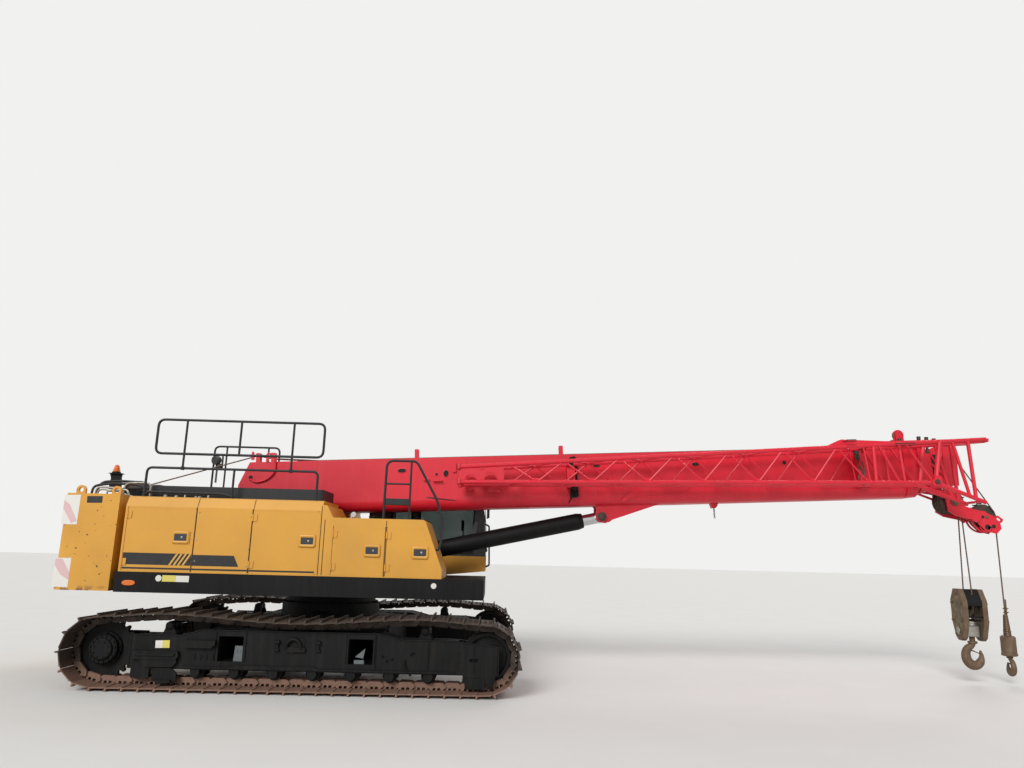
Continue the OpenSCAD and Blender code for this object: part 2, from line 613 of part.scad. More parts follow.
// Cab: a hollow shell with window cut-outs
cab_low = deck_top + 5;
function cab_points(in) = [[cab_rear + in, cab_low + in], [1640, cab_low + in], [cab_nose - in, cab_low + 65 + in],
  [cab_nose - in, 1640], [cab_nose - 48 - in, 2378], [cab_nose - 170 - in, 2850], [cab_nose - 300 - in, cab_roof - in],
  [cab_rear + 90 + in, cab_roof - in], [cab_rear + in, cab_roof - 90 - in]];
// Windows in the side walls: rear, front, sill and head
side_window = [700, 2060, 1700, 2820];
door_hole = [1060, 2120, 1450, 2830];
rear_side_window = [560, 960, 1800, 2820];
roof_window = [900, 1700];
back_window = [1900, 2780];
front_window = [1900, 1720];
module cab_body() color(yellow) on_slew() {
  difference() {
    side_view(cab_in, cab_out) polygon(cab_points(0));
    side_view(cab_in + cab_wall, cab_out - cab_wall) polygon(cab_points(cab_wall));
    box([side_window[0], cab_in - 1, side_window[2]], [side_window[1], cab_in + cab_wall + 1, side_window[3]]);
    box([door_hole[0], cab_out - cab_wall - 1, door_hole[2]], [door_hole[1], cab_out + 1, door_hole[3]]);
    box([rear_side_window[0], cab_out - cab_wall - 1, rear_side_window[2]], [rear_side_window[1], cab_out + 1, rear_side_window[3]]);
    box([front_window[0], cab_in + 90, front_window[1]], [cab_nose + 10, cab_out - 90, 2800]);
    box([cab_nose - 60, cab_in + 120, 1480], [cab_nose + 10, cab_out - 120, 1660]);
    box([cab_rear - 10, cab_in + 120, back_window[0]], [cab_rear + cab_wall + 1, cab_out - 120, back_window[1]]);
    box([roof_window[0], cab_in + 160, cab_roof - cab_wall - 1], [roof_window[1], cab_out - 160, cab_roof + 10]);
  }
  box([420, cab_out - 1, door_hole[3] + 25], [2120, cab_out + 60, door_hole[3] + 55]);
  box([420, cab_out - 1, door_hole[2] - 55], [2120, cab_out + 60, door_hole[2] - 25]);
  box([600, cab_in + 100, cab_low - 5], [700, cab_out - 100, cab_low + 1]);
  box([1450, cab_in + 100, cab_low - 5], [1550, cab_out - 100, cab_low + 1]);
}

// Panes that fill the fixed windows
module cab_glass() color(glass_tint, 0.4) on_slew() {
  box([side_window[0], cab_in + 15, side_window[2]], [side_window[1], cab_in + 15 + pane_t, side_window[3]]);
  box([rear_side_window[0], cab_out - 25, rear_side_window[2]], [rear_side_window[1], cab_out - 25 + pane_t, rear_side_window[3]]);
  box([cab_rear + 15, cab_in + 120, back_window[0]], [cab_rear + 15 + pane_t, cab_out - 120, back_window[1]]);
  box([roof_window[0], cab_in + 160, cab_roof - 25], [roof_window[1], cab_out - 160, cab_roof - 25 + pane_t]);
  side_view(cab_in + 90, cab_out - 90) intersection() {
    difference() {
      polygon(cab_points(15));
      polygon(cab_points(15 + pane_t));
    }
    translate(front_window) square([400, 2800 - front_window[1]]);
  }
}

// Sliding door of the cab, which runs back along the outer wall
door_y = cab_out + run_gap + 2;
module cab_door() color(yellow) on_slew() difference() {
  box([door_hole[0] - 30, door_y, door_hole[2] - 25 + seat], [door_hole[1] + 30, door_y + 40, door_hole[3] + 25 - seat]);
  box([door_hole[0] + 60, door_y - 1, 1760], [door_hole[1] - 60, door_y + 41, 2760]);
}
module cab_door_glass() color(glass_tint, 0.4) on_slew()
  box([door_hole[0] + 60, door_y + 16, 1760], [door_hole[1] - 60, door_y + 16 + pane_t, 2760]);

// Operator's seat on its pedestal, and the consoles beside it
cab_mid = (cab_in + cab_out) / 2;
cab_floor = cab_low + cab_wall;
function floor_at(x) = cab_floor + seat + 65 * (x - 1640) / (cab_nose - cab_wall - 1640);
module seat() color(dark) on_slew() {
  box([780, cab_mid - 170, cab_floor], [1220, cab_mid + 170, cab_floor + 300]);
  box([740, cab_mid - 240, cab_floor + 300], [1260, cab_mid + 240, cab_floor + 430]);
  side_view(cab_mid - 230, cab_mid + 230) polygon([[640, cab_floor + 400], [780, cab_floor + 400], [700, cab_floor + 1080],
    [580, cab_floor + 1080]]);
}
module controls() color(dark) on_slew() {
  for (s = [-1, 1]) {
    box([800, cab_mid + s * 340 - 70, cab_floor], [1350, cab_mid + s * 340 + 70, cab_floor + 560]);
    translate([1260, cab_mid + s * 340, cab_floor + 560]) cylinder(r = 14, h = 160);
    translate([1260, cab_mid + s * 340, cab_floor + 700]) cylinder(r = 26, h = 80);
  }
  side_view(cab_mid - 200, cab_mid + 200) polygon([[1850, floor_at(1850)], [1950, floor_at(1950)],
    [1950, floor_at(1950) + 90], [1850, floor_at(1850) + 90]]);
}

// Cross-section of a boom box: flat top, round lower corners
module boom_box(w, low, top, r) {
  translate([-w / 2, low + r]) square([w, top - low - r]);
  translate([-w / 2 + r, low]) square([w - 2 * r, r + 1]);
  for (y = [-w / 2 + r, w / 2 - r]) translate([y, low + r]) circle(r = r);
}
// A hollow section from x0 to x1, stepped in from the outer section
module boom_tube(x0, x1, step) front_view(x0, x1) difference() {
  boom_box(base_w - 2 * step, base_low + step, base_top - step, 150);
  boom_box(base_w - 2 * step - 2 * boom_wall, base_low + step + boom_wall, base_top - step - boom_wall, 150 - boom_wall);
}

// Outer section: tail with the foot boss, lugs for the ram, a collar at the mouth and rope guides
module boom_base() color(red) on_boom() difference() {
  union() {
    intersection() {
      boom_tube(-320, base_len, 0);
      side_view(-base_w, base_w) polygon([[-320, -300], [base_len + 10, -300], [base_len + 10, base_top + 10],
        [-75, base_top + 10], [-240, 220], [-240, -100], [-170, base_low - 10], [-320, -400]]);
    }
    intersection() {
      front_view(-320, 60) boom_box(base_w, base_low, base_top, 150);
      side_view(-base_w, base_w) polygon([[-75, base_top + 10], [-240, 220], [-240, -100], [-160, base_low - 10],
        [-120, base_low - 10], [-200, -90], [-200, 215], [-40, base_top + 10]]);
    }
    cross_bar(0, 0, 100, -tower_y + run_gap, tower_y - run_gap);
    difference() {
      front_view(base_len - 160, base_len) boom_box(base_w + 50, base_low, base_top + 25, 150);
      front_view(base_len - 161, base_len + 1) boom_box(base_w - 2, base_low + 1, base_top - 1, 149);
    }
    for (y = [-eye_half - run_gap - 45, eye_half + run_gap]) side_view(y, y + 45) polygon([[ram_pin_bx - 95, base_low + 5],
      [ram_pin_bx - 70, base_low - 20], [ram_pin_bx - 80, ram_pin_bz - 30], [ram_pin_bx - 45, ram_pin_bz - 80],
      [ram_pin_bx + 110, ram_pin_bz - 85], [ram_pin_bx + 160, ram_pin_bz - 50], [ram_pin_bx + 902, base_low + 5]]);
    for (y = [-base_w / 2 - 12, base_w / 2 - 2]) side_view(y, y + 14) polygon([[ram_pin_bx + 290, base_low + 60],
      [ram_pin_bx + 292, base_low + 76], [ram_pin_bx + 512, base_low + 236], [ram_pin_bx + 1370, base_low + 236],
      [ram_pin_bx + 1165, base_low + 138], [ram_pin_bx + 533, base_low + 126], [ram_pin_bx + 330, base_low + 50]]);
    for (y = [-eye_half - run_gap - 65, eye_half + run_gap + 40]) cross_bar(ram_pin_bx, ram_pin_bz, 70, y, y + 25);
    for (x = [-40, 190, 2390, base_len / 2 - 375]) guide(x);
    for (x = jib_holds) box([x - 60, jib_in + chord_r * cos(15) + seat, jib_pt(x, -1, 0).z - 40],
      [x + 60, -base_w / 2 + 5, jib_pt(x, 1, 0).z + 40]);
    side_view(-30, -20) union() {
      translate([base_len - 30, base_top + 210]) circle(r = 85);
      translate([base_len - 110, base_top]) square([160, 180]);
    }
  }
  cross_bar(0, 0, foot_pin_r, -tower_y, tower_y);
}
module guide(x) difference() {
  box([x - 30, -60, base_top - 5], [x + 30, 60, base_top + 170]);
  box([x - 31, -35, base_top + 20], [x + 31, 35, base_top + 140]);
}

// Middle section, on wear pads in the mouth of the outer one
pad_t = mid_step - boom_wall - seat;
module pads(x, step, low_side) {
  for (y = [-70, 70]) {
    if (low_side) box([x, y - 40, base_low + step - mid_step + boom_wall + seat], [x + 140, y + 40, base_low + step + 2]);
    else box([x, y - 40, base_top - step - 2], [x + 140, y + 40, base_top - step + mid_step - boom_wall - seat]);
  }
}
module boom_mid() color(red) on_boom() {
  boom_tube(mid_tail, mid_mouth, mid_step);
  pads(mid_tail, mid_step, true);
  pads(mid_tail, mid_step, false);
  difference() {
    front_view(mid_mouth - 60, mid_mouth) boom_box(base_w - 2 * mid_step + 60, base_low + mid_step, base_top - mid_step + 30, 150);
    front_view(mid_mouth - 61, mid_mouth + 1)
      boom_box(base_w - 2 * mid_step - 2, base_low + mid_step + 1, base_top - mid_step - 1, 149);
  }
}

// Tip section with the boom head and the nose for the second rope
head_in = 150;
nose_in = 62;
cheek_t = 20;
head_side = [[-60, 447], [200, 447], [225, 480], [365, 505], [370, 300], [320, 200], [255, 60], [265, -40], [375, -130],
  [410, -265], [455, -378], [640, -440], [690, -500], [640, -590], [588, -620], [535, -573], [296, -516], [178, -437],
  [150, -98], [-60, -98]];
module boom_tip() color(red) on_boom() difference() {
  union() {
    boom_tube(tip_tail, tip_mouth, tip_step);
    pads(tip_tail, tip_step, true);
    pads(tip_tail, tip_step, false);
    for (y = [-head_in - 30, head_in]) side_view(y, y + 30) translate([tip_mouth, 0]) polygon(head_side);
    front_view(tip_mouth - 60, tip_mouth) boom_box(base_w - 2 * tip_step - 2, base_low + tip_step + 1, base_top - tip_step - 1, 149);
    box([tip_mouth - 10, -head_in - 10, 300], [tip_mouth + 240, head_in + 10, 330]);
    side_view(-head_in - 10, -75) head_web();
    side_view(75, head_in + 10) head_web();
    for (y = [-nose_in - cheek_t, nose_in]) nose_cheek(y);
    box([tip_mouth + 500, -head_in - 10, -560], [tip_mouth + 555, head_in + 10, -440]);
  }
  cross_bar(head_bx, head_bz, 40.4, -head_in - 100, head_in + 100);
  cross_bar(nose_bx, nose_bz, 35.4, -head_in - 100, head_in + 100);
}
module head_web() polygon([[tip_mouth - 10, 300], [tip_mouth + 20, 300], [head_bx - 60, -40], [head_bx - 90, -60]]);

// Cheek of the nose, with an open loop at its point and a guard under the sheave
nose_side = [[-360, 145], [-160, 115], [0, 95], [100, -18], [190, 25], [nose_reach, -40], [240, -88], [120, -80], [40, -130],
  [-60, -110], [-180, -60], [-290, -35], [-318, 60]];
nose_loop = [[148, -38], [190, -8], [232, -42], [218, -66], [152, -56]];
guard_in = nose_sheave_r + 24;
guard_arc = [for (i = [0:12]) 186 + 156 * i / 12];
module nose_cheek(y) side_view(y, y + cheek_t) translate([nose_bx, nose_bz]) {
  difference() {
    polygon(nose_side);
    polygon(nose_loop);
  }
  polygon(concat([for (a = guard_arc) guard_in * [cos(a), sin(a)]],
    [for (i = [12:-1:0]) (guard_in + 24) * [cos(guard_arc[i]), sin(guard_arc[i])]]));
}

// Sheaves at the head and the nose, each on its axle
module sheave_rows(r, half) {
  polygon([[0, -half], [r + 22, -half], [r, -half / 3], [r, half / 3], [r + 22, half], [0, half]]);
}
module head_sheaves() color(steel) on_boom() {
  cross_bar(head_bx, head_bz, 40, -head_in - 45, head_in + 45);
  for (y = [-100, -33, 33, 100]) translate([head_bx, y, head_bz]) rotate([-90, 0, 0])
    rotate_extrude() sheave_rows(head_sheave_r - rope_r, 26);
}
module nose_sheave() color(steel) on_boom() {
  cross_bar(nose_bx, nose_bz, 35, -nose_in - cheek_t - 15, nose_in + cheek_t + 15);
  translate([nose_bx, 0, nose_bz]) rotate([-90, 0, 0]) rotate_extrude() sheave_rows(nose_sheave_r - rope_r, 26);
  for (y = [-nose_in + seat, 25]) cross_bar(nose_bx, nose_bz, 60, y, y + nose_in - 25 - seat);
}

// Lattice jib stowed along the right side of the outer section
jib_in = -520;
jib_out = -960;
jib_tip_x = base_len - 6925;
jib_root_x = base_len - 85;
jib_mid_z = 232;
jib_tip_h = 215;
jib_root_h = 585;
jib_end_x = base_len + 745;
jib_low_x = base_len + 605;
jib_low_end = -362;
lace_start = jib_tip_x + 710;
lace_end = base_len - 1060;
jib_holds = [base_len - 5280, base_len - 870];
function jib_h(x) = jib_tip_h + (jib_root_h - jib_tip_h) * (x - jib_tip_x) / (jib_root_x - jib_tip_x);
function jib_drop(x) = jib_low_end + (jib_pt(jib_root_x, -1, 0).z - jib_low_end) * (jib_low_x - x) / (jib_low_x - jib_root_x);
function jib_pt(x, s, y) = [x, y, jib_mid_z + s * jib_h(x) / 2];
function bay_x(i) = lace_start + (lace_end - lace_start) * i / jib_bays;
function side_of(i) = i % 2 == 0 ? jib_out : jib_in;
// Posts and braces of the strong end: place at the top and at the bottom, before the boom's mouth, and radius
root_posts = [[-1070, -1028, lace_r], [-925, -943, 27], [-845, -600, 19], [-547, -526, 22], [-450, -117, 20]];
module jib() color(red) on_boom() {
  for (y = [jib_in, jib_out]) {
    strut(jib_pt(jib_tip_x, 1, y), jib_pt(jib_end_x, 1, y), chord_r, 12, 15);
    strut(jib_pt(jib_tip_x, -1, y), jib_pt(jib_root_x, -1, y), chord_r, 12, 15);
    translate(jib_pt(jib_root_x, -1, y)) sphere(r = chord_r + 6);
    strut(jib_pt(jib_root_x, -1, y), [jib_low_x, y, jib_low_end], chord_r, 12, 15);
    for (i = [0:jib_bays - 1]) let (s = y == side_of(i) ? 1 : -1) strut(jib_pt(bay_x(i), s, y), jib_pt(bay_x(i + 1), -s, y), lace_r);
    for (p = root_posts) strut(jib_pt(base_len + p[0], 1, y), jib_pt(base_len + p[1], -1, y), p[2]);
    strut(jib_pt(base_len + 59, 1, y), jib_pt(jib_root_x + 5, -1, y), 35);
    strut(jib_pt(base_len + 246, 1, y), [base_len + 387, y, jib_drop(base_len + 387)], 24);
    strut(jib_pt(base_len + 477, 1, y), [base_len + 472, y, jib_drop(base_len + 472)], 27);
    jib_plate(y);
  }
  for (s = [-1, 1], i = [0:jib_bays - 1])
    strut(jib_pt(bay_x(i), s, side_of(s > 0 ? i : i + 1)), jib_pt(bay_x(i + 1), s, side_of(s > 0 ? i + 1 : i)), lace_r - 2);
  for (x = [jib_tip_x + 30, base_len - 935, base_len + 400]) strut(jib_pt(x, 1, jib_in), jib_pt(x, 1, jib_out), lace_r + 6);
  for (x = [jib_tip_x + 30, base_len - 935]) strut(jib_pt(x, -1, jib_in), jib_pt(x, -1, jib_out), lace_r + 6);
  strut([jib_low_x - 40, jib_in, jib_drop(jib_low_x - 40)], [jib_low_x - 40, jib_out, jib_drop(jib_low_x - 40)], lace_r + 6);
  jib_beam();
}

// Plate between the chords at the slender end, with three round cut-outs
plate_len = 640;
plate_holes = [[170, -85, 85], [330, 125, 70], [450, -75, 100]];
module jib_plate(y) difference() {
  side_view(y - 6, y + 6) polygon([for (q = [[0, -1], [0, 1], [plate_len, 1], [plate_len, -1]])
    let (p = jib_pt(jib_tip_x + q[0], q[1], 0)) [p.x, p.z]]);
  for (h = plate_holes) cross_bar(jib_tip_x + h[0], jib_mid_z + h[1], h[2], y - 20, y + 20);
}

// Flat beam along the top of the strong end, with two slots and a forked front
beam_y = jib_out + 50;
beam_half = 50;
beam_side = [[-1606, 505], [-1382, 597], [-1208, 585], [-730, 556], [642, 565], [794, 557], [785, 506], [631, 497], [-339, 463],
  [-1213, 520]];
module jib_beam() difference() {
  side_view(beam_y - beam_half, beam_y + beam_half) translate([base_len, 0]) polygon(beam_side);
  box([base_len - 650, beam_y - beam_half - 1, 480], [base_len - 350, beam_y - beam_half + 30, 508]);
  box([base_len - 1360, beam_y - beam_half - 1, 552], [base_len - 1200, beam_y - beam_half + 30, 574]);
  box([base_len + 660, beam_y - 26, 400], [base_len + 900, beam_y + 26, 700]);
}

// Luffing ram, drawn along its own line from the foot pin
module on_ram() on_slew() translate([ram_foot_x, 0, ram_foot_z]) rotate([0, -ram_tilt, 0]) children();
module ram_barrel() color(dark) on_ram() difference() {
  union() {
    cross_bar(0, 0, 95, -eye_half, eye_half);
    box([0, -eye_half + 20, -70], [barrel_back, eye_half - 20, 70]);
    translate([80, 0, 0]) rotate([0, 90, 0]) cylinder(r = barrel_r, h = barrel_len - 160);
    translate([barrel_len - 80, 0, 0]) rotate([0, 90, 0]) cylinder(r1 = barrel_r, r2 = rod_r + 24, h = 80);
  }
  cross_bar(0, 0, 45, -eye_half - 1, eye_half + 1);
  translate([barrel_back, 0, 0]) rotate([0, 90, 0]) cylinder(r = barrel_in, h = barrel_len - gland_len - barrel_back);
  translate([barrel_back, 0, 0]) rotate([0, 90, 0]) cylinder(r = rod_r + 0.3, h = barrel_len);
}
module ram_rod() color(steel) on_ram() {
  translate([piston_at, 0, 0]) rotate([0, 90, 0]) cylinder(r = barrel_in - 0.4, h = piston_t);
  translate([piston_at, 0, 0]) rotate([0, 90, 0]) cylinder(r = rod_r, h = ram_len - piston_at - 60);
  cross_bar(ram_len, 0, 92, -eye_half + 3, eye_half - 3);
}

// Falls of the main hoist, straight lines from the front of the head sheaves to the block
block_half = 120;
block_low = 520;
fall_y = 33;
module on_block() on_slew() translate([block_x, 0, block_z]) rotate([0, 0, block_yaw]) children();
module main_falls() color(dark) on_slew() for (s = [-1, 1]) {
  foot_r = block_sheave_r + rope_gap + 0.3;
  strut([block_x + s * foot_r * cos(block_yaw), s * foot_r * sin(block_yaw), block_z], [block_x, -s * fall_y, head_z], rope_r, 12);
}

// Hook block: two thick cheeks, sheaves between them and a crosshead below
module hook_block() color(rust) on_block() {
  for (y = [-block_half - 35, block_half]) side_view(y, y + 35) polygon([[-110, 230], [110, 230], [240, 60], [240, -250],
    [130, -480], [60, -block_low], [-60, -block_low], [-130, -480], [-240, -250], [-240, 60]]);
  cross_bar(0, 0, 45, -block_half - 60, block_half + 60);
  for (y = [-66, 0, 66]) translate([0, y, 0]) rotate([-90, 0, 0]) rotate_extrude() sheave_rows(block_sheave_r - rope_r, 26);
  for (y = [-block_half - 1, 85]) cross_bar(0, 0, 60, y, y + 36);
  box([-70, -block_half - 1, -block_low], [70, block_half + 1, -420]);
}

// Single hook, a round section swept on an arc that narrows to its point
module hook_body(x, z, size, yaw) translate([x, 0, z]) rotate([0, 0, yaw]) {
  translate([0, 0, -size * 0.45]) cylinder(r = size * 0.13, h = size * 0.45);
  translate([0, 0, -size * 0.85]) rotate([90, 0, 0]) rotate([0, 0, 90]) rotate_extrude(angle = 270)
    translate([size * 0.42, 0]) circle(r = size * 0.15);
  translate([size * 0.42, 0, -size * 0.85]) cylinder(r1 = size * 0.15, r2 = size * 0.07, h = size * 0.22);
}
module main_hook() color(rust) on_slew() hook_body(block_x, block_z - block_low - seat, 300, 0);

// Single fall of the second hoist, its weight and its hook
module aux_fall() color(dark) on_slew() {
  strut([aux_x, 0, aux_top + 300 - 5], [aux_x, 0, nose_z], rope_r, 12);
  translate([aux_x, 0, aux_top]) cylinder(r1 = 55, r2 = 32, h = 300, $fn = 32);
}
weight_h = 290;
module aux_weight() color(rust) on_slew() translate([aux_x, 0, aux_top - weight_h])
  cylinder(r = 125, h = weight_h - seat);
module aux_hook() color(rust) on_slew() hook_body(aux_x, aux_top - weight_h - seat, 205, 60);

carbody();
track_frame_right();
track_frame_left();
track_right();
track_left();
sprocket_right();
sprocket_left();
idler_right();
idler_left();
rollers_right();
rollers_left();
upper_frame();
counterweight();
engine();
house_right();
house_left();
tank_house();
door_right_rear();
door_right_mid();
door_tank_rear();
door_tank_front();
door_left_rear();
door_left_mid();
roof_walkway();
handrails_right();
handrails_left();
front_rail();
winch_front();
winch_rear();
cab_body();
cab_glass();
cab_door();
cab_door_glass();
seat();
controls();
boom_base();
boom_mid();
boom_tip();
head_sheaves();
nose_sheave();
jib();
ram_barrel();
ram_rod();
main_falls();
hook_block();
main_hook();
aux_fall();
aux_weight();
aux_hook();
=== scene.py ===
"""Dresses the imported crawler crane: paint, tracks, ropes, cab fittings and the studio round it."""

import json
import math

import bmesh
import bpy
from bpy.props import FloatProperty, FloatVectorProperty, PointerProperty
from mathutils import Matrix, Vector


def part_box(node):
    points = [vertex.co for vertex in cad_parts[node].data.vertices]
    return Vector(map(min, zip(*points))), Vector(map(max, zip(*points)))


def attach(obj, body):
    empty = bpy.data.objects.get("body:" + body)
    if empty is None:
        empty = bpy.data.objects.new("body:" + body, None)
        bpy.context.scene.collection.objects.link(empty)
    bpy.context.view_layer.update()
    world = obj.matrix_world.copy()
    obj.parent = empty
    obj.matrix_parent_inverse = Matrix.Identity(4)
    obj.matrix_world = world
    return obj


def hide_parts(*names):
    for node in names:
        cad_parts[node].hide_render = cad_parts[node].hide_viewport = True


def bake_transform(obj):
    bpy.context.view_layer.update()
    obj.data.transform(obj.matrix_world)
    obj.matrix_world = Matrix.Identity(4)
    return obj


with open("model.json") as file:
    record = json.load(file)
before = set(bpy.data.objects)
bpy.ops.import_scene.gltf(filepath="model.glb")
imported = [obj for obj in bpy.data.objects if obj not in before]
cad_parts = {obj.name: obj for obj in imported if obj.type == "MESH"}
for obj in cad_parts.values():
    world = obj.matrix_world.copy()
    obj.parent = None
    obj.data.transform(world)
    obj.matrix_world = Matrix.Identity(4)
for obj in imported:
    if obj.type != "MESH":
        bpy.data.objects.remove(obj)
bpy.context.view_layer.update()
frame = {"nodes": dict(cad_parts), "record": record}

bl_info = {
    "name": "Telescopic Crawler Crane",
    "version": (1, 0, 0),
    "blender": (4, 5, 0),
    "location": "View3D > Sidebar > Crane",
    "description": "Dresses a packed crawler crane with paint, tracks, ropes and fittings",
    "category": "Object",
}

MM = 0.001

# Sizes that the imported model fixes, in millimetres from the slew axis
TAIL_X = 3340
GAUGE = 3600
SHOE_W = 760
CHAIN_R = 352
SHOE_TIP = 95
SPROCKET_X = -2360
IDLER_X = 2340
CARRIER_X = 1570
CARRIER_RISE = 46
RUN_SAG = 80
PITCH = 190
WHEEL_Z = CHAIN_R + SHOE_TIP
SIDE = 1500
FOOT = (-1200, 2400)
BOOM_ANGLE = math.radians(3)
BASE_TOP = 557
BASE_LEN = 10000
RAM_PIN = (5187, -382)
HEAD = (10620, -300)
GUIDE = (10667, 500)
NOSE = (11130, -545)
MOUTH_SHEAVE = (9975, 767)
BOOM_SIDE = -310
DRUMS = (("front", -2230, 2040), ("rear", -2900, 2330))
RAIL_Y = 1400
# Faces that fittings stand on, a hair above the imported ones
DECK = 1360.2
ROOF = 2340.2
TANK_ROOF = 2120.2
WALKWAY = 2370.2
CAB_IN, CAB_OUT, CAB_MID, CAB_FLOOR = 480, 1460, 970, 1411

# The slew axis, found from the counterweight's rear face
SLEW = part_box("counterweight")[0].x + TAIL_X * MM


def linear(code):
    """Turns an sRGB hex colour into linear red, green and blue"""
    parts = [int(code[i:i + 2], 16) / 255 for i in (1, 3, 5)]
    return tuple(p / 12.92 if p <= 0.04045 else ((p + 0.055) / 1.055) ** 2.4 for p in parts)


def crane(x, y, z):
    """A point in millimetres from the slew axis, as a place in metres"""
    return Vector((SLEW + x * MM, y * MM, z * MM))


def boom_point(x, y, z):
    """A point in the boom's own measure, along and above its foot pin"""
    c, s = math.cos(BOOM_ANGLE), math.sin(BOOM_ANGLE)
    return crane(FOOT[0] + x * c - z * s, y, FOOT[1] + x * s + z * c)


# ---------------------------------------------------------------- settings


def colour(name, code, text):
    """A colour setting whose default is a hex code"""
    return FloatVectorProperty(name=name, description=text, subtype="COLOR", size=3, min=0, max=1, default=linear(code))


class CranePaint(bpy.types.PropertyGroup):
    """Colours of the finishes"""
    house: colour("House", "#D89C34", "Ochre enamel of the houses, the cab and the counterweight")
    boom: colour("Boom", "#D8162F", "Red enamel of the boom and the jib")
    chassis: colour("Chassis", "#0A0A0B", "Black enamel of the undercarriage and the upper frame")
    rail: colour("Rails", "#232427", "Dark grey enamel of rails, steps and walkways")
    shoes: colour("Track shoes", "#4A3C34", "Rusty steel of the track shoes and links")
    hooks: colour("Hooks", "#6F5D49", "Rusty steel of the hooks and the block")
    marker: colour("Marker lamps", "#E8762C", "Orange lenses of the beacon and the side markers")


class CraneSizes(bpy.types.PropertyGroup):
    """Sizes that can change without changing the imported model"""
    bolt: FloatProperty(name="Shoe bolt", description="Width of a track bolt's head", default=0.03, unit="LENGTH")
    rope: FloatProperty(name="Rope", description="Radius of the hoist ropes", default=0.010, unit="LENGTH")
    hose: FloatProperty(name="Hose", description="Radius of the hydraulic hoses", default=0.014, unit="LENGTH")


class CraneStudio(bpy.types.PropertyGroup):
    """Camera, lamps and floor"""
    lens: FloatProperty(name="Lens", description="Focal length", default=27.04, unit="CAMERA")
    floor: colour("Floor", "#E9E8E5", "Pale floor")
    backdrop: colour("Backdrop", "#F1F1F0", "Pale background")
    key: FloatProperty(name="Main lamp", description="Strength of the broad main lamp", default=2.15)
    fill: FloatProperty(name="Sky", description="Strength of the light from all round", default=0.42)


# ---------------------------------------------------------------- mesh tools


class Form:
    """Vertices and faces of one piece, gathered from simple solids. Points are (x, y, z) in millimetres in the form's
    own measure, or Vectors already in place, in metres. Radii and bends are in millimetres."""

    def __init__(self, place=crane):
        self.place = place
        self.verts = []
        self.faces = []

    def at(self, point):
        return point if isinstance(point, Vector) else self.place(*point)

    def add(self, verts, faces):
        first = len(self.verts)
        self.verts += [tuple(v) for v in verts]
        self.faces += [tuple(first + i for i in f) for f in faces]

    def sweep(self, rings, closed=False, caps=True):
        """Joins rings of equal count, in order"""
        n, count = len(rings[0]), len(rings)
        faces = []
        for r in range(count if closed else count - 1):
            a, b = r * n, (r + 1) % count * n
            faces += [(a + i, a + (i + 1) % n, b + (i + 1) % n, b + i) for i in range(n)]
        if caps and not closed:
            faces += [tuple(range(n))[::-1], tuple((count - 1) * n + i for i in range(n))]
        self.add([self.at(p) for ring in rings for p in ring], faces)

    def block(self, low, high):
        """A box from its two corners"""
        (x0, y0, z0), (x1, y1, z1) = low, high
        self.along_z(rect(x0, y0, x1, y1), z0, z1)

    def prism(self, outline, y0, y1):
        """A side view of (x, z) points carried from y0 to y1"""
        self.sweep([[(x, y, z) for x, z in outline] for y in (y1, y0)])

    def along_x(self, outline, x0, x1):
        """A front view of (y, z) points carried from x0 to x1"""
        self.sweep([[(x, y, z) for y, z in outline] for x in (x0, x1)])

    def along_z(self, outline, z0, z1):
        """A top view of (x, y) points carried from z0 to z1"""
        self.sweep([[(x, y, z) for x, y in outline] for z in (z0, z1)])

    def rod(self, a, b, r, r_end=None, sides=12):
        """A round bar between two points"""
        a, b = self.at(a), self.at(b)
        side, up = across(b - a)
        self.sweep([ring(p, side, up, radius * MM, sides) for p,
                    radius in ((a, r), (b, r if r_end is None else r_end))])

    def pipe(self, points, r, sides=8, closed=False):
        """A bent round tube through points whose corners are already rounded"""
        points = [self.at(p) for p in points]
        count = len(points)
        rings, side = [], None
        for i, p in enumerate(points):
            before = points[(i - 1) % count] if closed or i else p
            after = points[(i + 1) % count] if closed or i < count - 1 else p
            along = (after - before).normalized()
            side = along.orthogonal().normalized() if side is None else (side - along * side.dot(along)).normalized()
            rings.append(ring(p, side, along.cross(side), r * MM, sides))
        self.sweep(rings, closed=closed)

    def tube(self, points, bend, r, sides=8):
        """A round tube along a path whose corners it bends"""
        self.pipe(rounded([self.at(p) for p in points], bend * MM), r, sides)

    def turned(self, centre, axis, rows, sides=40):
        """A body turned about an axis through centre, from rows of (radius, place along it)"""
        centre, axis = self.at(centre), Vector(axis).normalized()
        side, up = across(axis)
        self.sweep([ring(centre + axis * along * MM, side, up, radius * MM, sides) for radius, along in rows])


def across(along):
    """Two directions at right angles to a line and to each other"""
    along = along.normalized()
    side = along.orthogonal().normalized()
    return side, along.cross(side)


def ring(centre, side, up, r, sides):
    """Corners of a regular polygon round a centre"""
    turn = [2 * math.pi * i / sides for i in range(sides)]
    return [centre + r * (side * math.cos(t) + up * math.sin(t)) for t in turn]


def rect(x0, z0, x1, z1):
    """Corners of an upright rectangle"""
    return [(x0, z0), (x1, z0), (x1, z1), (x0, z1)]


def circle(count, r, x=0, z=0, start=0, turn=2 * math.pi):
    """Points round (x, z), one count-th of a turn apart"""
    return [(x + r * math.cos(a), z + r * math.sin(a)) for a in (start + turn * k / count for k in range(count))]


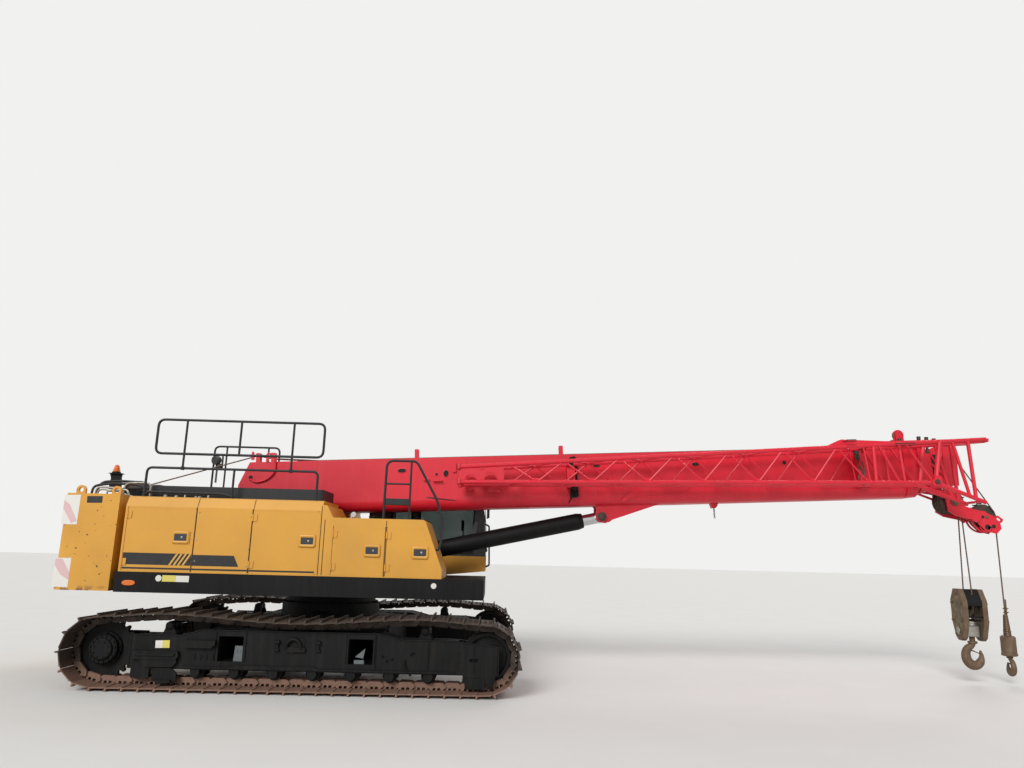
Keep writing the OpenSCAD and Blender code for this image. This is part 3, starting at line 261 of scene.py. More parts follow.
def rounded(points, bend, steps=5):
    """Rounds the corners of a path by a bend radius, in the path's own unit"""
    points = [Vector(p) for p in points]
    out = [points[0]]
    for before, at, after in zip(points, points[1:], points[2:]):
        a, b = (before - at), (after - at)
        reach = min(bend, a.length * 0.48, b.length * 0.48)
        p, q = at + a.normalized() * reach, at + b.normalized() * reach
        for i in range(steps + 1):
            t = i / steps
            out.append(p * (1 - t) ** 2 + at * 2 * t * (1 - t) + q * t ** 2)
    out.append(points[-1])
    return out


def make_piece(name, form, material, body, replaces=(), bevel=0, smooth=32):
    """Makes an object of a form, gives it its finish and lets it ride on a body named by a string; any other piece
    stays where it is made
    """
    mesh = bpy.data.meshes.new(name)
    mesh.from_pydata(form.verts, [], form.faces)
    mesh.validate()
    skin = bmesh.new()
    skin.from_mesh(mesh)
    bmesh.ops.recalc_face_normals(skin, faces=skin.faces)
    skin.to_mesh(mesh)
    skin.free()
    mesh.shade_smooth()
    mesh.set_sharp_from_angle(angle=math.radians(smooth))
    mesh.materials.append(bpy.data.materials[material])
    piece = bpy.data.objects.new(name, mesh)
    bpy.context.scene.collection.objects.link(piece)
    if bevel:
        edge = piece.modifiers.new("edge", "BEVEL")
        edge.width = bevel * MM
        edge.segments = 2
        edge.limit_method = "ANGLE"
        edge.angle_limit = math.radians(40)
        edge.harden_normals = True
    if isinstance(body, str):
        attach(piece, body)
    else:
        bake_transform(piece)
    if replaces:
        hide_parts(*replaces)
    return piece


# ---------------------------------------------------------------- finishes


def fill(node, inputs):
    """Fills a node's inputs with values, or with links from other nodes' sockets"""
    for key, value in inputs.items():
        if isinstance(value, bpy.types.NodeSocket):
            node.id_data.links.new(value, node.inputs[key])
        else:
            node.inputs[key].default_value = value


def add_node(tree, kind, settings=None, inputs=None):
    """Adds one node, sets its properties and fills its inputs"""
    made = tree.nodes.new(kind)
    for key, value in (settings or {}).items():
        setattr(made, key, value)
    fill(made, inputs or {})
    return made


def rgba(code, shade=1):
    """A hex code or a colour setting as red, green, blue and alpha, darkened to a share"""
    return (*(c * shade for c in (linear(code) if isinstance(code, str) else code)), 1)


def new_material(name):
    """Starts a material, and gives its tree, its shader and the place on the piece in metres"""
    material = bpy.data.materials.new(name)
    material.use_nodes = True
    tree = material.node_tree
    return tree, tree.nodes["Principled BSDF"], add_node(tree, "ShaderNodeTexCoord").outputs["Object"]


def mixed(tree, factor, a, b):
    """Mixes two colours and gives the result's socket"""
    return add_node(tree, "ShaderNodeMix", {"data_type": "RGBA"}, {"Factor": factor, "A": a, "B": b}).outputs["Result"]


def noise(tree, place, size_mm, detail=4, rough=0.55):
    """Noise whose patches are size_mm across"""
    return add_node(tree, "ShaderNodeTexNoise", None,
                    {"Vector": place, "Scale": 1 / (size_mm * MM), "Detail": detail, "Roughness": rough}).outputs["Fac"]


def ramp(tree, value, low, high, to_low=0, to_high=1):
    """Maps a value's range to another and clamps it"""
    ends = {"Value": value, "From Min": low, "From Max": high, "To Min": to_low, "To Max": to_high}
    return add_node(tree, "ShaderNodeMapRange", {"clamp": True}, ends).outputs["Result"]


def joined(tree, a, b, operation="MULTIPLY"):
    """Multiplies two values, or takes their maximum"""
    return add_node(tree, "ShaderNodeMath", {"operation": operation}, {0: a, 1: b}).outputs["Value"]


def height_of(tree, place):
    """Height of a point on the piece, in metres"""
    return add_node(tree, "ShaderNodeSeparateXYZ", None, {"Vector": place}).outputs["Z"]


def bumped(tree, height, depth_mm, strength):
    """Normal of a skin whose waves are depth_mm deep"""
    return add_node(tree, "ShaderNodeBump", None,
                    {"Height": height, "Distance": depth_mm * MM, "Strength": strength}).outputs["Normal"]


def enamel(name, code, rough=0.36, shade=0.86, dust="#A99C86", dust_amount=0.25, dust_top=1.2, chips=0.0,
           rust_low=None, above=None, gloss=0.5):
    """Sprayed machine enamel on steel: even colour clouded by dust, streaks from rain and small chips"""
    tree, shader, place = new_material(name)
    cloud = noise(tree, place, 700)
    painted = mixed(tree, ramp(tree, cloud, 0.35, 0.7), rgba(code), rgba(code, shade))
    # Rain carries the dust down in streaks some 60 mm wide
    long = add_node(tree, "ShaderNodeMapping", None, {"Vector": place, "Scale": (1, 1, 0.08)}).outputs["Vector"]
    streak = ramp(tree, noise(tree, long, 60, 3), 0.45, 0.8)
    height = height_of(tree, place)
    if above:
        sill, top_code = above
        painted = mixed(tree, ramp(tree, height, sill - 0.002, sill + 0.002), painted, rgba(top_code))
    film = joined(tree, joined(tree, streak, ramp(tree, height, 0.1, dust_top, 1, 0.25)), dust_amount)
    painted = mixed(tree, film, painted, rgba(dust))
    if chips:
        # Stone chips and rust spots are 15 to 40 mm wide, the smallest that the picture shows
        spot = ramp(tree, noise(tree, place, 45, 2, 0.4), 0.71 - chips, 0.74 - chips)
        painted = mixed(tree, spot, painted, rgba("#5B3320"))
    if rust_low:
        level, reach = rust_low
        edge = ramp(tree, height, level, level + reach, 1, 0)
        scab = joined(tree, edge, ramp(tree, noise(tree, place, 90, 5, 0.7), 0.5, 0.56))
        painted = mixed(tree, scab, painted, rgba("#4A2A1C"))
    # Welded sheet is never quite flat: waves of 250 mm, half a millimetre deep
    fill(shader, {"Base Color": painted, "Roughness": ramp(tree, cloud, 0.3, 0.7, rough - 0.05, rough + 0.12),
                  "Normal": bumped(tree, noise(tree, place, 250, 1), 0.5, 0.5), "IOR": 1.5,
                  "Specular IOR Level": gloss})


def bare_steel(name, code, other, rough=0.6, metal=0.5, grain=18, patches=120, ground=None):
    """Rusty or oily steel: two colours in patches, a rough skin, and another colour near the ground"""
    tree, shader, place = new_material(name)
    patch = noise(tree, place, patches, 5, 0.65)
    skin = mixed(tree, ramp(tree, patch, 0.35, 0.65), rgba(code), rgba(other))
    if ground:
        # A lighter colour near the ground and the darker patches above: on the track shoes partly wear and dirt, partly
        # painted shade
        skin = mixed(tree, ramp(tree, height_of(tree, place), 0.14, 0.34, 0.85, 0), skin, rgba(ground))
    fine = noise(tree, place, grain, 3)
    skin = mixed(tree, ramp(tree, fine, 0.5, 0.8, 0, 0.45), skin, rgba(code, 0.45))
    fill(shader, {"Base Color": skin, "Roughness": ramp(tree, patch, 0.3, 0.7, rough - 0.12, rough + 0.15),
                  "Normal": bumped(tree, fine, 1.5, 0.6), "Metallic": metal})


def plain(name, code, rough=0.5, metal=0.0, size_mm=40, vary=0.85, ior=1.5):
    """A moulded, rubber or film surface with a slight mottle"""
    tree, shader, place = new_material(name)
    patch = noise(tree, place, size_mm, 3)
    fill(shader, {"Base Color": mixed(tree, patch, rgba(code), rgba(code, vary)),
                  "Roughness": ramp(tree, patch, 0.3, 0.7, rough - 0.05, rough + 0.08), "Metallic": metal, "IOR": ior})


def glazing(name, code):
    """Tinted toughened glass, 8 mm, that shows the far side"""
    tree, shader, place = new_material(name)
    smear = noise(tree, place, 300, 3)
    fill(shader, {"Roughness": ramp(tree, smear, 0.4, 0.8, 0.02, 0.12), "Transmission Weight": 0.9, "IOR": 1.12,
                  "Base Color": mixed(tree, smear, rgba(code), rgba("#A3ABA8"))})


def wire_rope(name):
    """Greased wire rope: strands wound 60 mm a turn, drawn as bands across the line"""
    tree, shader, place = new_material(name)
    slant = add_node(tree, "ShaderNodeTexWave", {"bands_direction": "DIAGONAL"},
                     {"Vector": place, "Scale": 16, "Distortion": 0.5}).outputs["Fac"]
    fill(shader, {"Base Color": mixed(tree, slant, rgba("#4A3A30"), rgba("#7A6250")),
                  "Normal": bumped(tree, slant, 2, 0.7), "Metallic": 0.6, "Roughness": 0.5})


class CRANE_OT_finishes(bpy.types.Operator):
    """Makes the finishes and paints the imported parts"""
    bl_idname = "crane.finishes"
    bl_label = "Finishes"

    def execute(self, context):
        paint = context.scene.crane_paint
        # Semi-gloss enamel, ochre: faded a little, dust in the corners
        enamel("ochre_enamel", paint.house, 0.38, dust_amount=0.18, dust_top=2.2)
        # The same on the cast counterweight, where the paint has chipped to rust near the ground
        enamel("ochre_enamel_on_casting", paint.house, 0.45, dust_amount=0.2, dust_top=2.2, chips=0.004,
               rust_low=(1.1, 0.08))
        # The cab is ochre up to its sill and charcoal above it
        enamel("ochre_and_charcoal_enamel", paint.house, 0.42, dust_amount=0.12, dust_top=2.2, above=(1.655, "#2B2C2F"))
        # Gloss enamel, red: fresher than the rest
        enamel("red_enamel", paint.boom, 0.4, 0.86, dust="#B88A86", dust_amount=0.1, dust_top=4)
        enamel("black_enamel", paint.chassis, 0.55, 0.8, dust="#5C554B", dust_amount=0.12, dust_top=1.5, gloss=0.2)
        enamel("rail_enamel", paint.rail, 0.45, 0.85, dust="#77736B", dust_amount=0.12, dust_top=3, gloss=0.3)
        enamel("engine_enamel", "#5E6466", 0.4, 0.8, dust="#6F675B", dust_amount=0.4, dust_top=3)
        # Shoes in the lower run are scuffed to light rust; the upper ones are darker, partly from dirt and partly as
        # painted shade
        bare_steel("rusty_shoe_steel_with_painted_shade", paint.shoes, "#33291F", 0.7, 0.15, 30, ground="#8A6A5A")
        bare_steel("rusty_hook_steel", paint.hooks, "#5E4633", 0.62, 0.2, 25)
        # Yellow enamel of the hook block, half gone to rust
        bare_steel("flaking_enamel", "#7E6F46", "#4C4035", 0.65, 0.1, 22, patches=60)
        bare_steel("worn_sheave_steel", "#3A3634", "#5B4A3E", 0.5, 0.6, 20)
        bare_steel("zinc_steel", "#A6A49C", "#8B8880", 0.45, 0.8, 30)
        plain("hose_rubber", "#17181A", 0.6)
        plain("black_film", "#17171A", 0.35)
        plain("white_film", "#E4E1DA", 0.4, vary=0.9, size_mm=90)
        plain("yellow_film", "#E2D36A", 0.4)
        plain("stripe_film", "#DDA94A", 0.4)
        plain("pink_film", "#DDB7B8", 0.45, vary=0.9)
        # A flat dark colour of painted shade, laid in seams, holes and slots
        plain("seam_shadow", "#1B1612", 0.8)
        plain("lamp_lens", paint.marker, 0.18, size_mm=15, ior=1.49)
        plain("clear_lens", "#C9CED0", 0.12, size_mm=15, ior=1.49)
        plain("vinyl_seat", "#232427", 0.55, size_mm=20)
        plain("moulded_plastic", "#2A2B2E", 0.5, size_mm=20)
        plain("chrome_plate", "#C9CBCE", 0.12, metal=1.0, vary=0.95)
        glazing("tinted_glass", "#6C7674")
        wire_rope("greased_rope")

        finish_of = {
            "house_yellow": "ochre_enamel", "boom_red": "red_enamel", "frame_black": "black_enamel",
            "undercarriage_black": "black_enamel", "track_steel": "rusty_shoe_steel_with_painted_shade", "engine_grey": "engine_enamel",
            "rail_grey": "rail_enamel", "rope_steel": "greased_rope", "window_glass": "tinted_glass",
            "seat_black": "vinyl_seat", "sheave_steel": "worn_sheave_steel", "rod_chrome": "chrome_plate",
            "hook_iron": "rusty_hook_steel",
        }
        own = {"counterweight": "ochre_enamel_on_casting", "cab_body": "ochre_and_charcoal_enamel",
               "cab_door": "ochre_and_charcoal_enamel", "winch_front": "worn_sheave_steel",
               "winch_rear": "worn_sheave_steel"}
        for part in frame["record"]["subparts"]:
            node = part["node"]
            mesh = frame["nodes"][node].data
            name = own.get(node, finish_of[part["material_slot"]])
            mesh.materials.clear()
            mesh.materials.append(bpy.data.materials[name])
        return {"FINISHED"}


# ---------------------------------------------------------------- tracks


def pin_line():
    """The line of the track pins in a side view: ground, idler, carrier rollers, sprocket"""
    ease = lambda t: (1 - math.cos(math.pi * t)) / 2
    top = WHEEL_Z + CHAIN_R
    arc, run = 48, 96
    line = [(SPROCKET_X, SHOE_TIP)]
    line += [(IDLER_X + CHAIN_R * math.sin(math.pi * i / arc), WHEEL_Z - CHAIN_R * math.cos(math.pi * i / arc))
             for i in range(arc + 1)]
    line += [(IDLER_X + (CARRIER_X - IDLER_X) * i / arc, top + CARRIER_RISE * ease(i / arc)) for i in range(1, arc + 1)]
    line += [(CARRIER_X * (1 - 2 * i / run), top + CARRIER_RISE - RUN_SAG * ease(1 - abs(1 - 2 * i / run)))
             for i in range(1, run + 1)]
    line += [(-CARRIER_X + (SPROCKET_X + CARRIER_X) * i / arc, top + CARRIER_RISE * ease(1 - i / arc))
             for i in range(1, arc + 1)]
    line += [(SPROCKET_X - CHAIN_R * math.sin(math.pi * i / arc), WHEEL_Z + CHAIN_R * math.cos(math.pi * i / arc))
             for i in range(1, arc + 1)]
    return [Vector(p) for p in line]


def track_pins():
    """Places of the pins, one pitch apart along the line"""
    line = pin_line()
    way = [0]
    for a, b in zip(line, line[1:]):
        way.append(way[-1] + (b - a).length)
    count = round(way[-1] / PITCH)
    pins, j = [], 0
    for k in range(count):
        s = way[-1] * k / count
        while way[j + 1] < s:
            j += 1
        t = (s - way[j]) / (way[j + 1] - way[j])
        pins.append(line[j].lerp(line[j + 1], t))
    return pins


# One shoe and one link in a side view: share of a pitch along, millimetres outward from the pin line
SHOE_PROFILE = ((-0.47, 46), (-0.47, 95), (-0.38, 95), (-0.34, 60), (0.40, 58), (0.46, 62), (0.50, 52), (0.53, 45),
                (0.64, 44), (0.64, 38), (0.44, 40), (0.36, 44))
LINK_PROFILE = ((-0.52, -18), (-0.44, -36), (-0.34, -45), (0.34, -45), (0.44, -36), (0.52, -18), (0.52, 14), (0.44, 32),
                (0.34, 44), (0.27, 44), (0.24, 14), (0.07, 14), (0.04, 44), (-0.04, 44), (-0.07, 14), (-0.24, 14),
                (-0.27, 44), (-0.34, 44), (-0.44, 32), (-0.52, 14))


class CRANE_OT_tracks(bpy.types.Operator):
    """Builds both tracks shoe by shoe, with links, pins and bolts"""
    bl_idname = "crane.tracks"
    bl_label = "Tracks"

    def execute(self, context):
        bolt = context.scene.crane_sizes.bolt / MM / 2
        pins = track_pins()
        for side, name in ((-1, "right"), (1, "left")):
            form = Form()
            middle = side * GAUGE / 2
            for k, a in enumerate(pins):
                b = pins[(k + 1) % len(pins)]
                along = (b - a).normalized()
                out = Vector((along.y, -along.x))
                centre, pitch = (a + b) / 2, (b - a).length
                spot = lambda q: centre + along * q[0] * pitch + out * q[1]
                form.prism([spot(q) for q in SHOE_PROFILE], middle - SHOE_W / 2, middle + SHOE_W / 2)
                for y in (-80, 80):
                    shift = 12 if k % 2 else -12
                    form.prism([spot(q) for q in LINK_PROFILE], middle + y - 18 + shift * (1 if y > 0 else -1),
                               middle + y + 18 + shift * (1 if y > 0 else -1))
                form.rod((a.x, middle - 112, a.y), (a.x, middle + 112, a.y), 19, sides=10)
                for y in (-105, -55, 55, 105):
                    for share in (-0.16, 0.16):
                        foot, head = spot((share, 55)), spot((share, 74))
                        form.rod((foot.x, middle + y, foot.y), (head.x, middle + y, head.y), bolt, sides=6)
            make_piece(f"track_chain_{name}", form, "rusty_shoe_steel_with_painted_shade", f"{name}_track", replaces=(f"track_{name}",))
        return {"FINISHED"}


# ---------------------------------------------------------------- markings


class CRANE_OT_markings(bpy.types.Operator):
    """Lays the plain bands, stripes, labels and the side marker on the right side"""
    bl_idname = "crane.markings"
    bl_label = "Markings"

    def execute(self, context):
        film = 1.5

        def on_side(name, outlines, material, body, out=0.3):
            form = Form()
            for outline in outlines:
                form.prism(outline, -SIDE - out - film, -SIDE - out)
            make_piece(name, form, material, body)

        leaf, panel = "door_right_rear_leaf", "upper"
        on_side("band_on_rear_door", [rect(-2460, 1602, -1572, 1452)], "black_film", leaf)
        stripes = [[(x, 1600), (x + 26, 1600), (x - 62, 1454), (x - 88, 1454)] for x in (-1770, -1712, -1656, -1598)]
        on_side("stripes_on_rear_door", stripes, "stripe_film", leaf, 2.2)
        on_side("band_on_fixed_panel", [[(-1558, 1592), (-1019, 1592), (-949, 1452), (-1558, 1452)]], "black_film",
                panel)
        on_side("line_on_rear_door", [rect(-2460, 1418, -1572, 1396)], "black_film", leaf)
        on_side("line_on_fixed_panel", [rect(-1558, 1418, -829, 1396)], "black_film", panel)
        on_side("line_on_middle_door", [rect(-812, 1418, 40, 1396)], "black_film",
                "door_right_mid_leaf")
        on_side("plate_on_counterweight", [[(-3027, 2318), (-2824, 2322), (-2821, 2233), (-3022, 2230)]], "black_film",
                panel)
        on_side("labels_on_counterweight", [[(-3322, 2326), (-3112, 2332), (-3114, 1946), (-3318, 1941)],
                                            [(-3325, 1510), (-3120, 1516), (-3117, 1143), (-3325, 1147)]],
                "white_film", panel)
        on_side("pink_bars", [[(-3318, 2260), (-3240, 2200), (-3120, 1990), (-3190, 1960), (-3318, 2150)],
                              [(-3320, 1500), (-3230, 1500), (-3122, 1330), (-3122, 1240), (-3230, 1300),
                               (-3320, 1420)]],
                "pink_film", panel, 2)
        on_side("white_labels_on_frame", [rect(-1742, 1322, -1570, 1243)], "white_film", panel)
        on_side("yellow_label_on_frame", [rect(-1916, 1324, -1744, 1244)], "yellow_film", panel)
        for name, x, z, r in (("round_label_rear", -1963, 1284, 40), ("round_label_front", 1613, 1271, 36)):
            form = Form()
            form.turned((x, -SIDE - 0.3, z), (0, -1, 0), [(r, 0), (r, 1.5)], 24)
            make_piece(name, form, "white_film", panel)
        form = Form()
        outline = [(-2341 + 86 * math.copysign(abs(math.cos(t)) ** 0.7, math.cos(t)), 1219 + 34 * math.sin(t))
                   for t in (2 * math.pi * i / 28 for i in range(28))]
        form.prism(outline, -SIDE - 14, -SIDE - 0.3)
        make_piece("side_marker", form, "lamp_lens", panel, bevel=5)
        return {"FINISHED"}


# ---------------------------------------------------------------- ropes


class CRANE_OT_ropes(bpy.types.Operator):
    """Winds rope on both drums and leads it along the boom"""
    bl_idname = "crane.ropes"
    bl_label = "Ropes"

    def execute(self, context):
        rope = context.scene.crane_sizes.rope / MM
        for name, x, z in DRUMS:
            form = Form()
            half, turns, core, laid = 298, 27, 214, 236
            rows = [(core, -half)]
            rows += [(laid + rise, -half + (i + q) * 2 * half / turns)
                     for i in range(turns) for q, rise in ((0, 0), (0.25, 8), (0.5, 11), (0.75, 8))]
            rows += [(laid, half), (core, half)]
            form.turned((x, 0, z), (0, 1, 0), rows, 48)
            make_piece(f"wound_rope_{name}", form, "greased_rope", f"{name}_drum", smooth=60)

        for name, y, height in (("main_rope", 34, BASE_TOP + 27), ("second_rope", -34, BASE_TOP + 33)):
            form = Form(boom_point)
            form.pipe([(x, y, z) for x, z in ((-44, 690), (190, 640), (900, height), (4740, height),
                                              (BASE_LEN - 30, height))], rope, 8)
            make_piece(f"{name}_on_boom", form, "greased_rope", "boom")
            # The rope runs out with the sections; the lengths over their mouths are made as pieces of their own, which
            # stay where they are made
            for x0, x1, a, b in ((9970, 10130, "boom", "mid_section"), (10130, 10310, "mid_section", "tip_section")):
                span = Form(boom_point)
                span.pipe([(x0 + (x1 - x0) * k / 8, y, height) for k in range(9)], rope, 8)
                make_piece(f"{name}_over_{a}_mouth", span, "greased_rope",
                           (a, b, boom_point(x0 + 20, y, height), boom_point(x1 - 20, y, height)))
            end = [(10790, 500), (10792, 120), (10793, -296)] if y > 0 else [(10744, 500), (11304, -470)]
            lead = Form(boom_point)
            lead.tube([(x, y, z) for x, z in ((10310, height), (10640, GUIDE[1] + 88), (10720, GUIDE[1] + 70), *end)],
                      50, rope, 8)
            make_piece(f"{name}_at_head", lead, "greased_rope", "tip_section")
        # From the rear drum up to the rollers at the boom's tail
        lead = Form()
        start, end = crane(-2985, -28, 2562), boom_point(-44, -28, 690)
        lead.pipe([start.lerp(end, k / 24) for k in range(25)], rope, 8)
        make_piece("rope_to_tail", lead, "greased_rope", ("upper", "boom", start.lerp(end, 0.68), end))
        return {"FINISHED"}


# ---------------------------------------------------------------- houses


def round_rect(x, z, w, h, r, steps=4):
    """Corner points of a rounded rectangle round (x, z)"""
    points = []
    for k, (sx, sz) in enumerate(rect(1, 1, -1, -1)):
        cx, cz = x + sx * (w / 2 - r), z + sz * (h / 2 - r)
        for i in range(steps + 1):
            t = math.radians(90 * k + 90 * i / steps)
            points.append((cx + r * math.cos(t), cz + r * math.sin(t)))
    return points


def inset(outline, by):
    """A convex outline, drawn anticlockwise, moved inward by a distance"""
    n = len(outline)
    lines = []
    for i in range(n):
        a, b = Vector(outline[i]), Vector(outline[(i + 1) % n])
        d = (b - a).normalized()
        lines.append((a + by * Vector((-d.y, d.x)), d))
    points = []
    for i in range(n):
        (p, u), (q, v) = lines[i - 1], lines[i]
        t = ((q.x - p.x) * v.y - (q.y - p.y) * v.x) / (u.x * v.y - u.y * v.x)
        points.append(tuple(p + u * t))
    return points


# Doors: leaf, side, rear edge, front edge, knee, front edge at the top, top, middle of the latch along and up
DOORS = (
    ("door_right_rear", -1, -2470, -1565, 0, -1565, 2195, -1735, 1812),
    ("door_right_mid", -1, -820, 60, 0, 60, 2195, -78, 1806),
    ("door_tank_rear", -1, 250, 945, 0, 945, 2010, 781, 1702),
    ("door_tank_front", -1, 960, 1640, 1479, 1437, 2010, 1416, 1692),
    ("door_left_rear", 1, -2470, -1565, 0, -1565, 2195, -1722, 1810),
    ("door_left_mid", 1, -820, 60, 0, 60, 2195, -90, 1810),
)
DOOR_LOW = 1380


def door_outline(rear, front, knee, front_top, top):
    """Outline of a door's opening, whose front edge may lean back above a knee"""
    lean = [(front, knee)] if knee else []
    return [(rear, DOOR_LOW), (front, DOOR_LOW), *lean, (front_top, top), (rear, top)]


class CRANE_OT_house_fittings(bpy.types.Operator):
    """Adds seals, flanges, latches, seams, guard rails, treads and louvres to the houses"""
    bl_idname = "crane.house_fittings"
    bl_label = "House fittings"

    def execute(self, context):
        for name, side, rear, front, knee, front_top, top, x, z in DOORS:
            hole = door_outline(rear, front, knee, front_top, top)
            body = f"{name}_leaf"

            seal = Form()
            outer, inner = inset(hole, 0.3), inset(hole, 30)
            seal.sweep([[(px, side * (SIDE - y), pz) for px, pz in line]
                        for line, y in ((outer, 31.5), (outer, 38), (inner, 38), (inner, 31.5))], closed=True)
            make_piece(f"{name}_seal", seal, "hose_rubber", "upper")
            # Thin flanges on the leaf lap over the gap at its top and foot, never beside the hinge
            flange = Form()
            strips = [rect(rear + 14, top - 13, front_top - 9, top + 7),
                      rect(rear + 14, DOOR_LOW - 6, front - 9, DOOR_LOW + 12)]
            if name.endswith("mid"):
                strips.append(rect(front - 16, DOOR_LOW - 6, front + 8, top + 7))
            if knee:
                slant = inset(hole, -8), inset(hole, 14)
                strips.append([slant[0][1], slant[0][2], slant[1][2], slant[1][1]])
                strips.append([slant[0][2], slant[0][3], slant[1][3], slant[1][2]])
            for strip in strips:
                flange.prism(strip, side * (SIDE + 2), side * (SIDE + 0.3))
            make_piece(f"{name}_flange", flange, "ochre_enamel", body)

            dish = Form()
            rows = ((232, 172, 30, 0.2), (222, 162, 28, 16), (214, 154, 26, 20.5), (176, 104, 16, 22),
                    (168, 96, 12, 18.8))
            dish.sweep([[(px, side * (SIDE + out), pz) for px, pz in round_rect(x, z, w, h, r)] for w, h, r,
                        out in rows])
            make_piece(f"{name}_latch_dish", dish, "ochre_enamel", body, smooth=50)
            handle = Form()
            for w, h, r, y0, y1, dx in ((162, 90, 10, 18.6, 19.6, 0), (104, 66, 8, 19.4, 21.2, 18),
                                        (22, 60, 6, 19.4, 22, -60)):
                handle.sweep([[(px, side * (SIDE + out), pz) for px, pz in round_rect(x + dx, z, w, h, r)]
                              for out in (y0, y1)])
            make_piece(f"{name}_latch_handle", handle, "moulded_plastic", body)
            key = Form()
            key.turned((x + 18, side * (SIDE + 21), z), (0, side, 0), [(13, 0), (13, 3), (9, 4.5), (4, 4.5), (4, 2)],
                       16)
            make_piece(f"{name}_latch_key", key, "zinc_steel", body)

        # Dark strips of painted shade in the pressed seams between the fixed sheets, and the round heads of their
        # screws
        seams = Form()
        for side in (-1, 1):
            for x0, x1, z0, z1 in ((-1564, -1554, 1372, 2200), (-830, -820, 1372, 2200), (82, 90, 1372, 2270)):
                seams.prism(rect(x0, z0, x1, z1), side * (SIDE + 1.4), side * (SIDE + 0.2))
        for x0, x1, z1 in ((132, 141, 2090), (947.5, 957, 2094)):
            seams.prism(rect(x0, 1372, x1, z1), -SIDE - 1.4, -SIDE - 0.2)
        make_piece("sheet_seam_shade", seams, "seam_shadow", "upper")
        # The dark strips of painted shade carry the seams on over the lean of the roofs' bent edges
        over = Form()
        for side in (-1, 1):
            for x in (-1560, -816):
                over.rod((x, side * (SIDE + 0.8), 2203), (x, side * (SIDE - 59.5), 2328), 4.5, sides=6)
        make_piece("roof_edge_seam_shade", over, "seam_shadow", "upper")
        screws = Form()
        for side in (-1, 1):
            for x, z in ((-1525, 2140), (-1525, 1790), (-1525, 1510), (-842, 2100), (-842, 1680), (-842, 1460)):
                screws.turned((x, side * (SIDE + 0.2), z), (0, side, 0), [(9, 0), (9, 3), (5, 6), (1, 6.5)], 12)
        make_piece("sheet_screws", screws, "zinc_steel", "upper")

        # Bent guard rails: the right one's upper frame is clamped to the hoop below it
        foot, hoop, top = ROOF + 0.1, 2730, 3390
        right, left = Form(), Form()

        def bent(form, points, y, bend):
            form.tube([(x, y, z) for x, z in points], bend, 17, 12)

        bent(right, ((-2330, foot), (-2330, hoop), (-30, hoop), (-30, foot)), -RAIL_Y, 70)
        bent(right, ((-700, top), (20, top), (20, 2925), (-2250, 2925), (-2250, top), (-701, top)), -RAIL_Y, 90)
        for x, z0, z1 in ((-1860, hoop, top), (-1120, 2925, top), (-400, hoop, top), (-1160, foot, hoop)):
            right.rod((x, -RAIL_Y, z0), (x, -RAIL_Y, z1), 15, sides=12)
        for x in (-1860, -400):
            right.rod((x, -RAIL_Y, hoop - 24), (x, -RAIL_Y, hoop + 24), 24, sides=12)
        make_piece("guard_rails_right", right, "rail_enamel", "upper", replaces=("handrails_right",), smooth=60)
        bent(left, ((-2470, foot), (-2470, 3395), (-1360, 3395), (-1360, foot)), RAIL_Y, 90)
        for x in (-2262, -1550):
            left.rod((x, RAIL_Y, foot), (x, RAIL_Y, 3395), 15, sides=12)
        make_piece("guard_rails_left", left, "rail_enamel", "upper", replaces=("handrails_left",), smooth=60)

        # Hoop over the steps at the tank house: its front leg bows out ahead of the sloping face
        steps = Form()
        bent(steps, ((888, 2116), (897, 2835), (918, 2885), (965, 2910), (1280, 2910), (1326, 2872), (1600, 2394),
                     (1688, 2110), (1684, 1900),
                    (1650, 1740), (1606, 1724)), -RAIL_Y, 60)
        steps.rod((900, -RAIL_Y, 2596), (1232, -RAIL_Y, 2596), 13, sides=12)
        steps.rod((1232, -RAIL_Y, 2114.3), (1232, -RAIL_Y, 2908), 14, sides=12)
        steps.prism(rect(890, 2318, 1230, 2398), -1404, -1398)
        steps.block((890, -1398, 2318), (1230, -1190, 2324))
        make_piece("step_hoop", steps, "rail_enamel", "upper", replaces=("front_rail",), smooth=60)

        # Steel chequer plate on the walkway, and round pads and plugs on the roofs
        tread = Form()
        for i in range(56):
            for j in range(14):
                x, y = -2254 + i * 40.5, -1208 + j * 46.5
                turn = math.radians(45 if (i + j) % 2 else -45)
                u, v = Vector((math.cos(turn), math.sin(turn))), Vector((-math.sin(turn), math.cos(turn)))
                foot = [Vector((x, y)) + u * a + v * b for a, b in ((-15, 0), (0, -4), (15, 0), (0, 4))]
                peak = [Vector((x, y)) + u * a + v * b for a, b in ((-9, 0), (0, -1.5), (9, 0), (0, 1.5))]
                tread.sweep([[(p.x, p.y, WALKWAY) for p in foot], [(p.x, p.y, 2372.5) for p in peak]])
        make_piece("walkway_tread", tread, "rail_enamel", "upper", smooth=20)

        roof = Form()
        for x, y, r, h in ((-2053, -1380, 26, 30), (-1909, -1375, 28, 24), (-1789, -1385, 13, 36),
                           (-1645, -1375, 24, 20),
                           (-1596, -1375, 24, 20), (-1477, -1385, 15, 38)):
            roof.turned((x, y, ROOF), (0, 0, 1), [(r, 0), (r, h * 0.6), (r * 0.6, h), (r * 0.2, h)], 16)
        make_piece("roof_plugs", roof, "zinc_steel", "upper")
        lamp = Form()
        lamp.block((400, -1120, 2100), (416, -1080, 2190))
        lamp.turned((440, -1100, 2180), (-0.3, -1, 0.1), [(14, -34), (34, -26), (39, 0), (39, 17), (32, 22)], 24)
        make_piece("tank_roof_lamp", lamp, "clear_lens", "upper", bevel=2)
        cap = Form()
        cap.turned((660, -760, TANK_ROOF), (0, 0, 1),
                   [(74, 0), (74, 18), (62, 24), (62, 44), (66, 48), (66, 62), (20, 68)], 32)
        for x, y in circle(6, 66, 660, -760):
            cap.turned((x, y, 2138), (0, 0, 1), [(5, 0), (5, 5), (1, 6)], 8)
        make_piece("tank_filler", cap, "black_enamel", "upper")
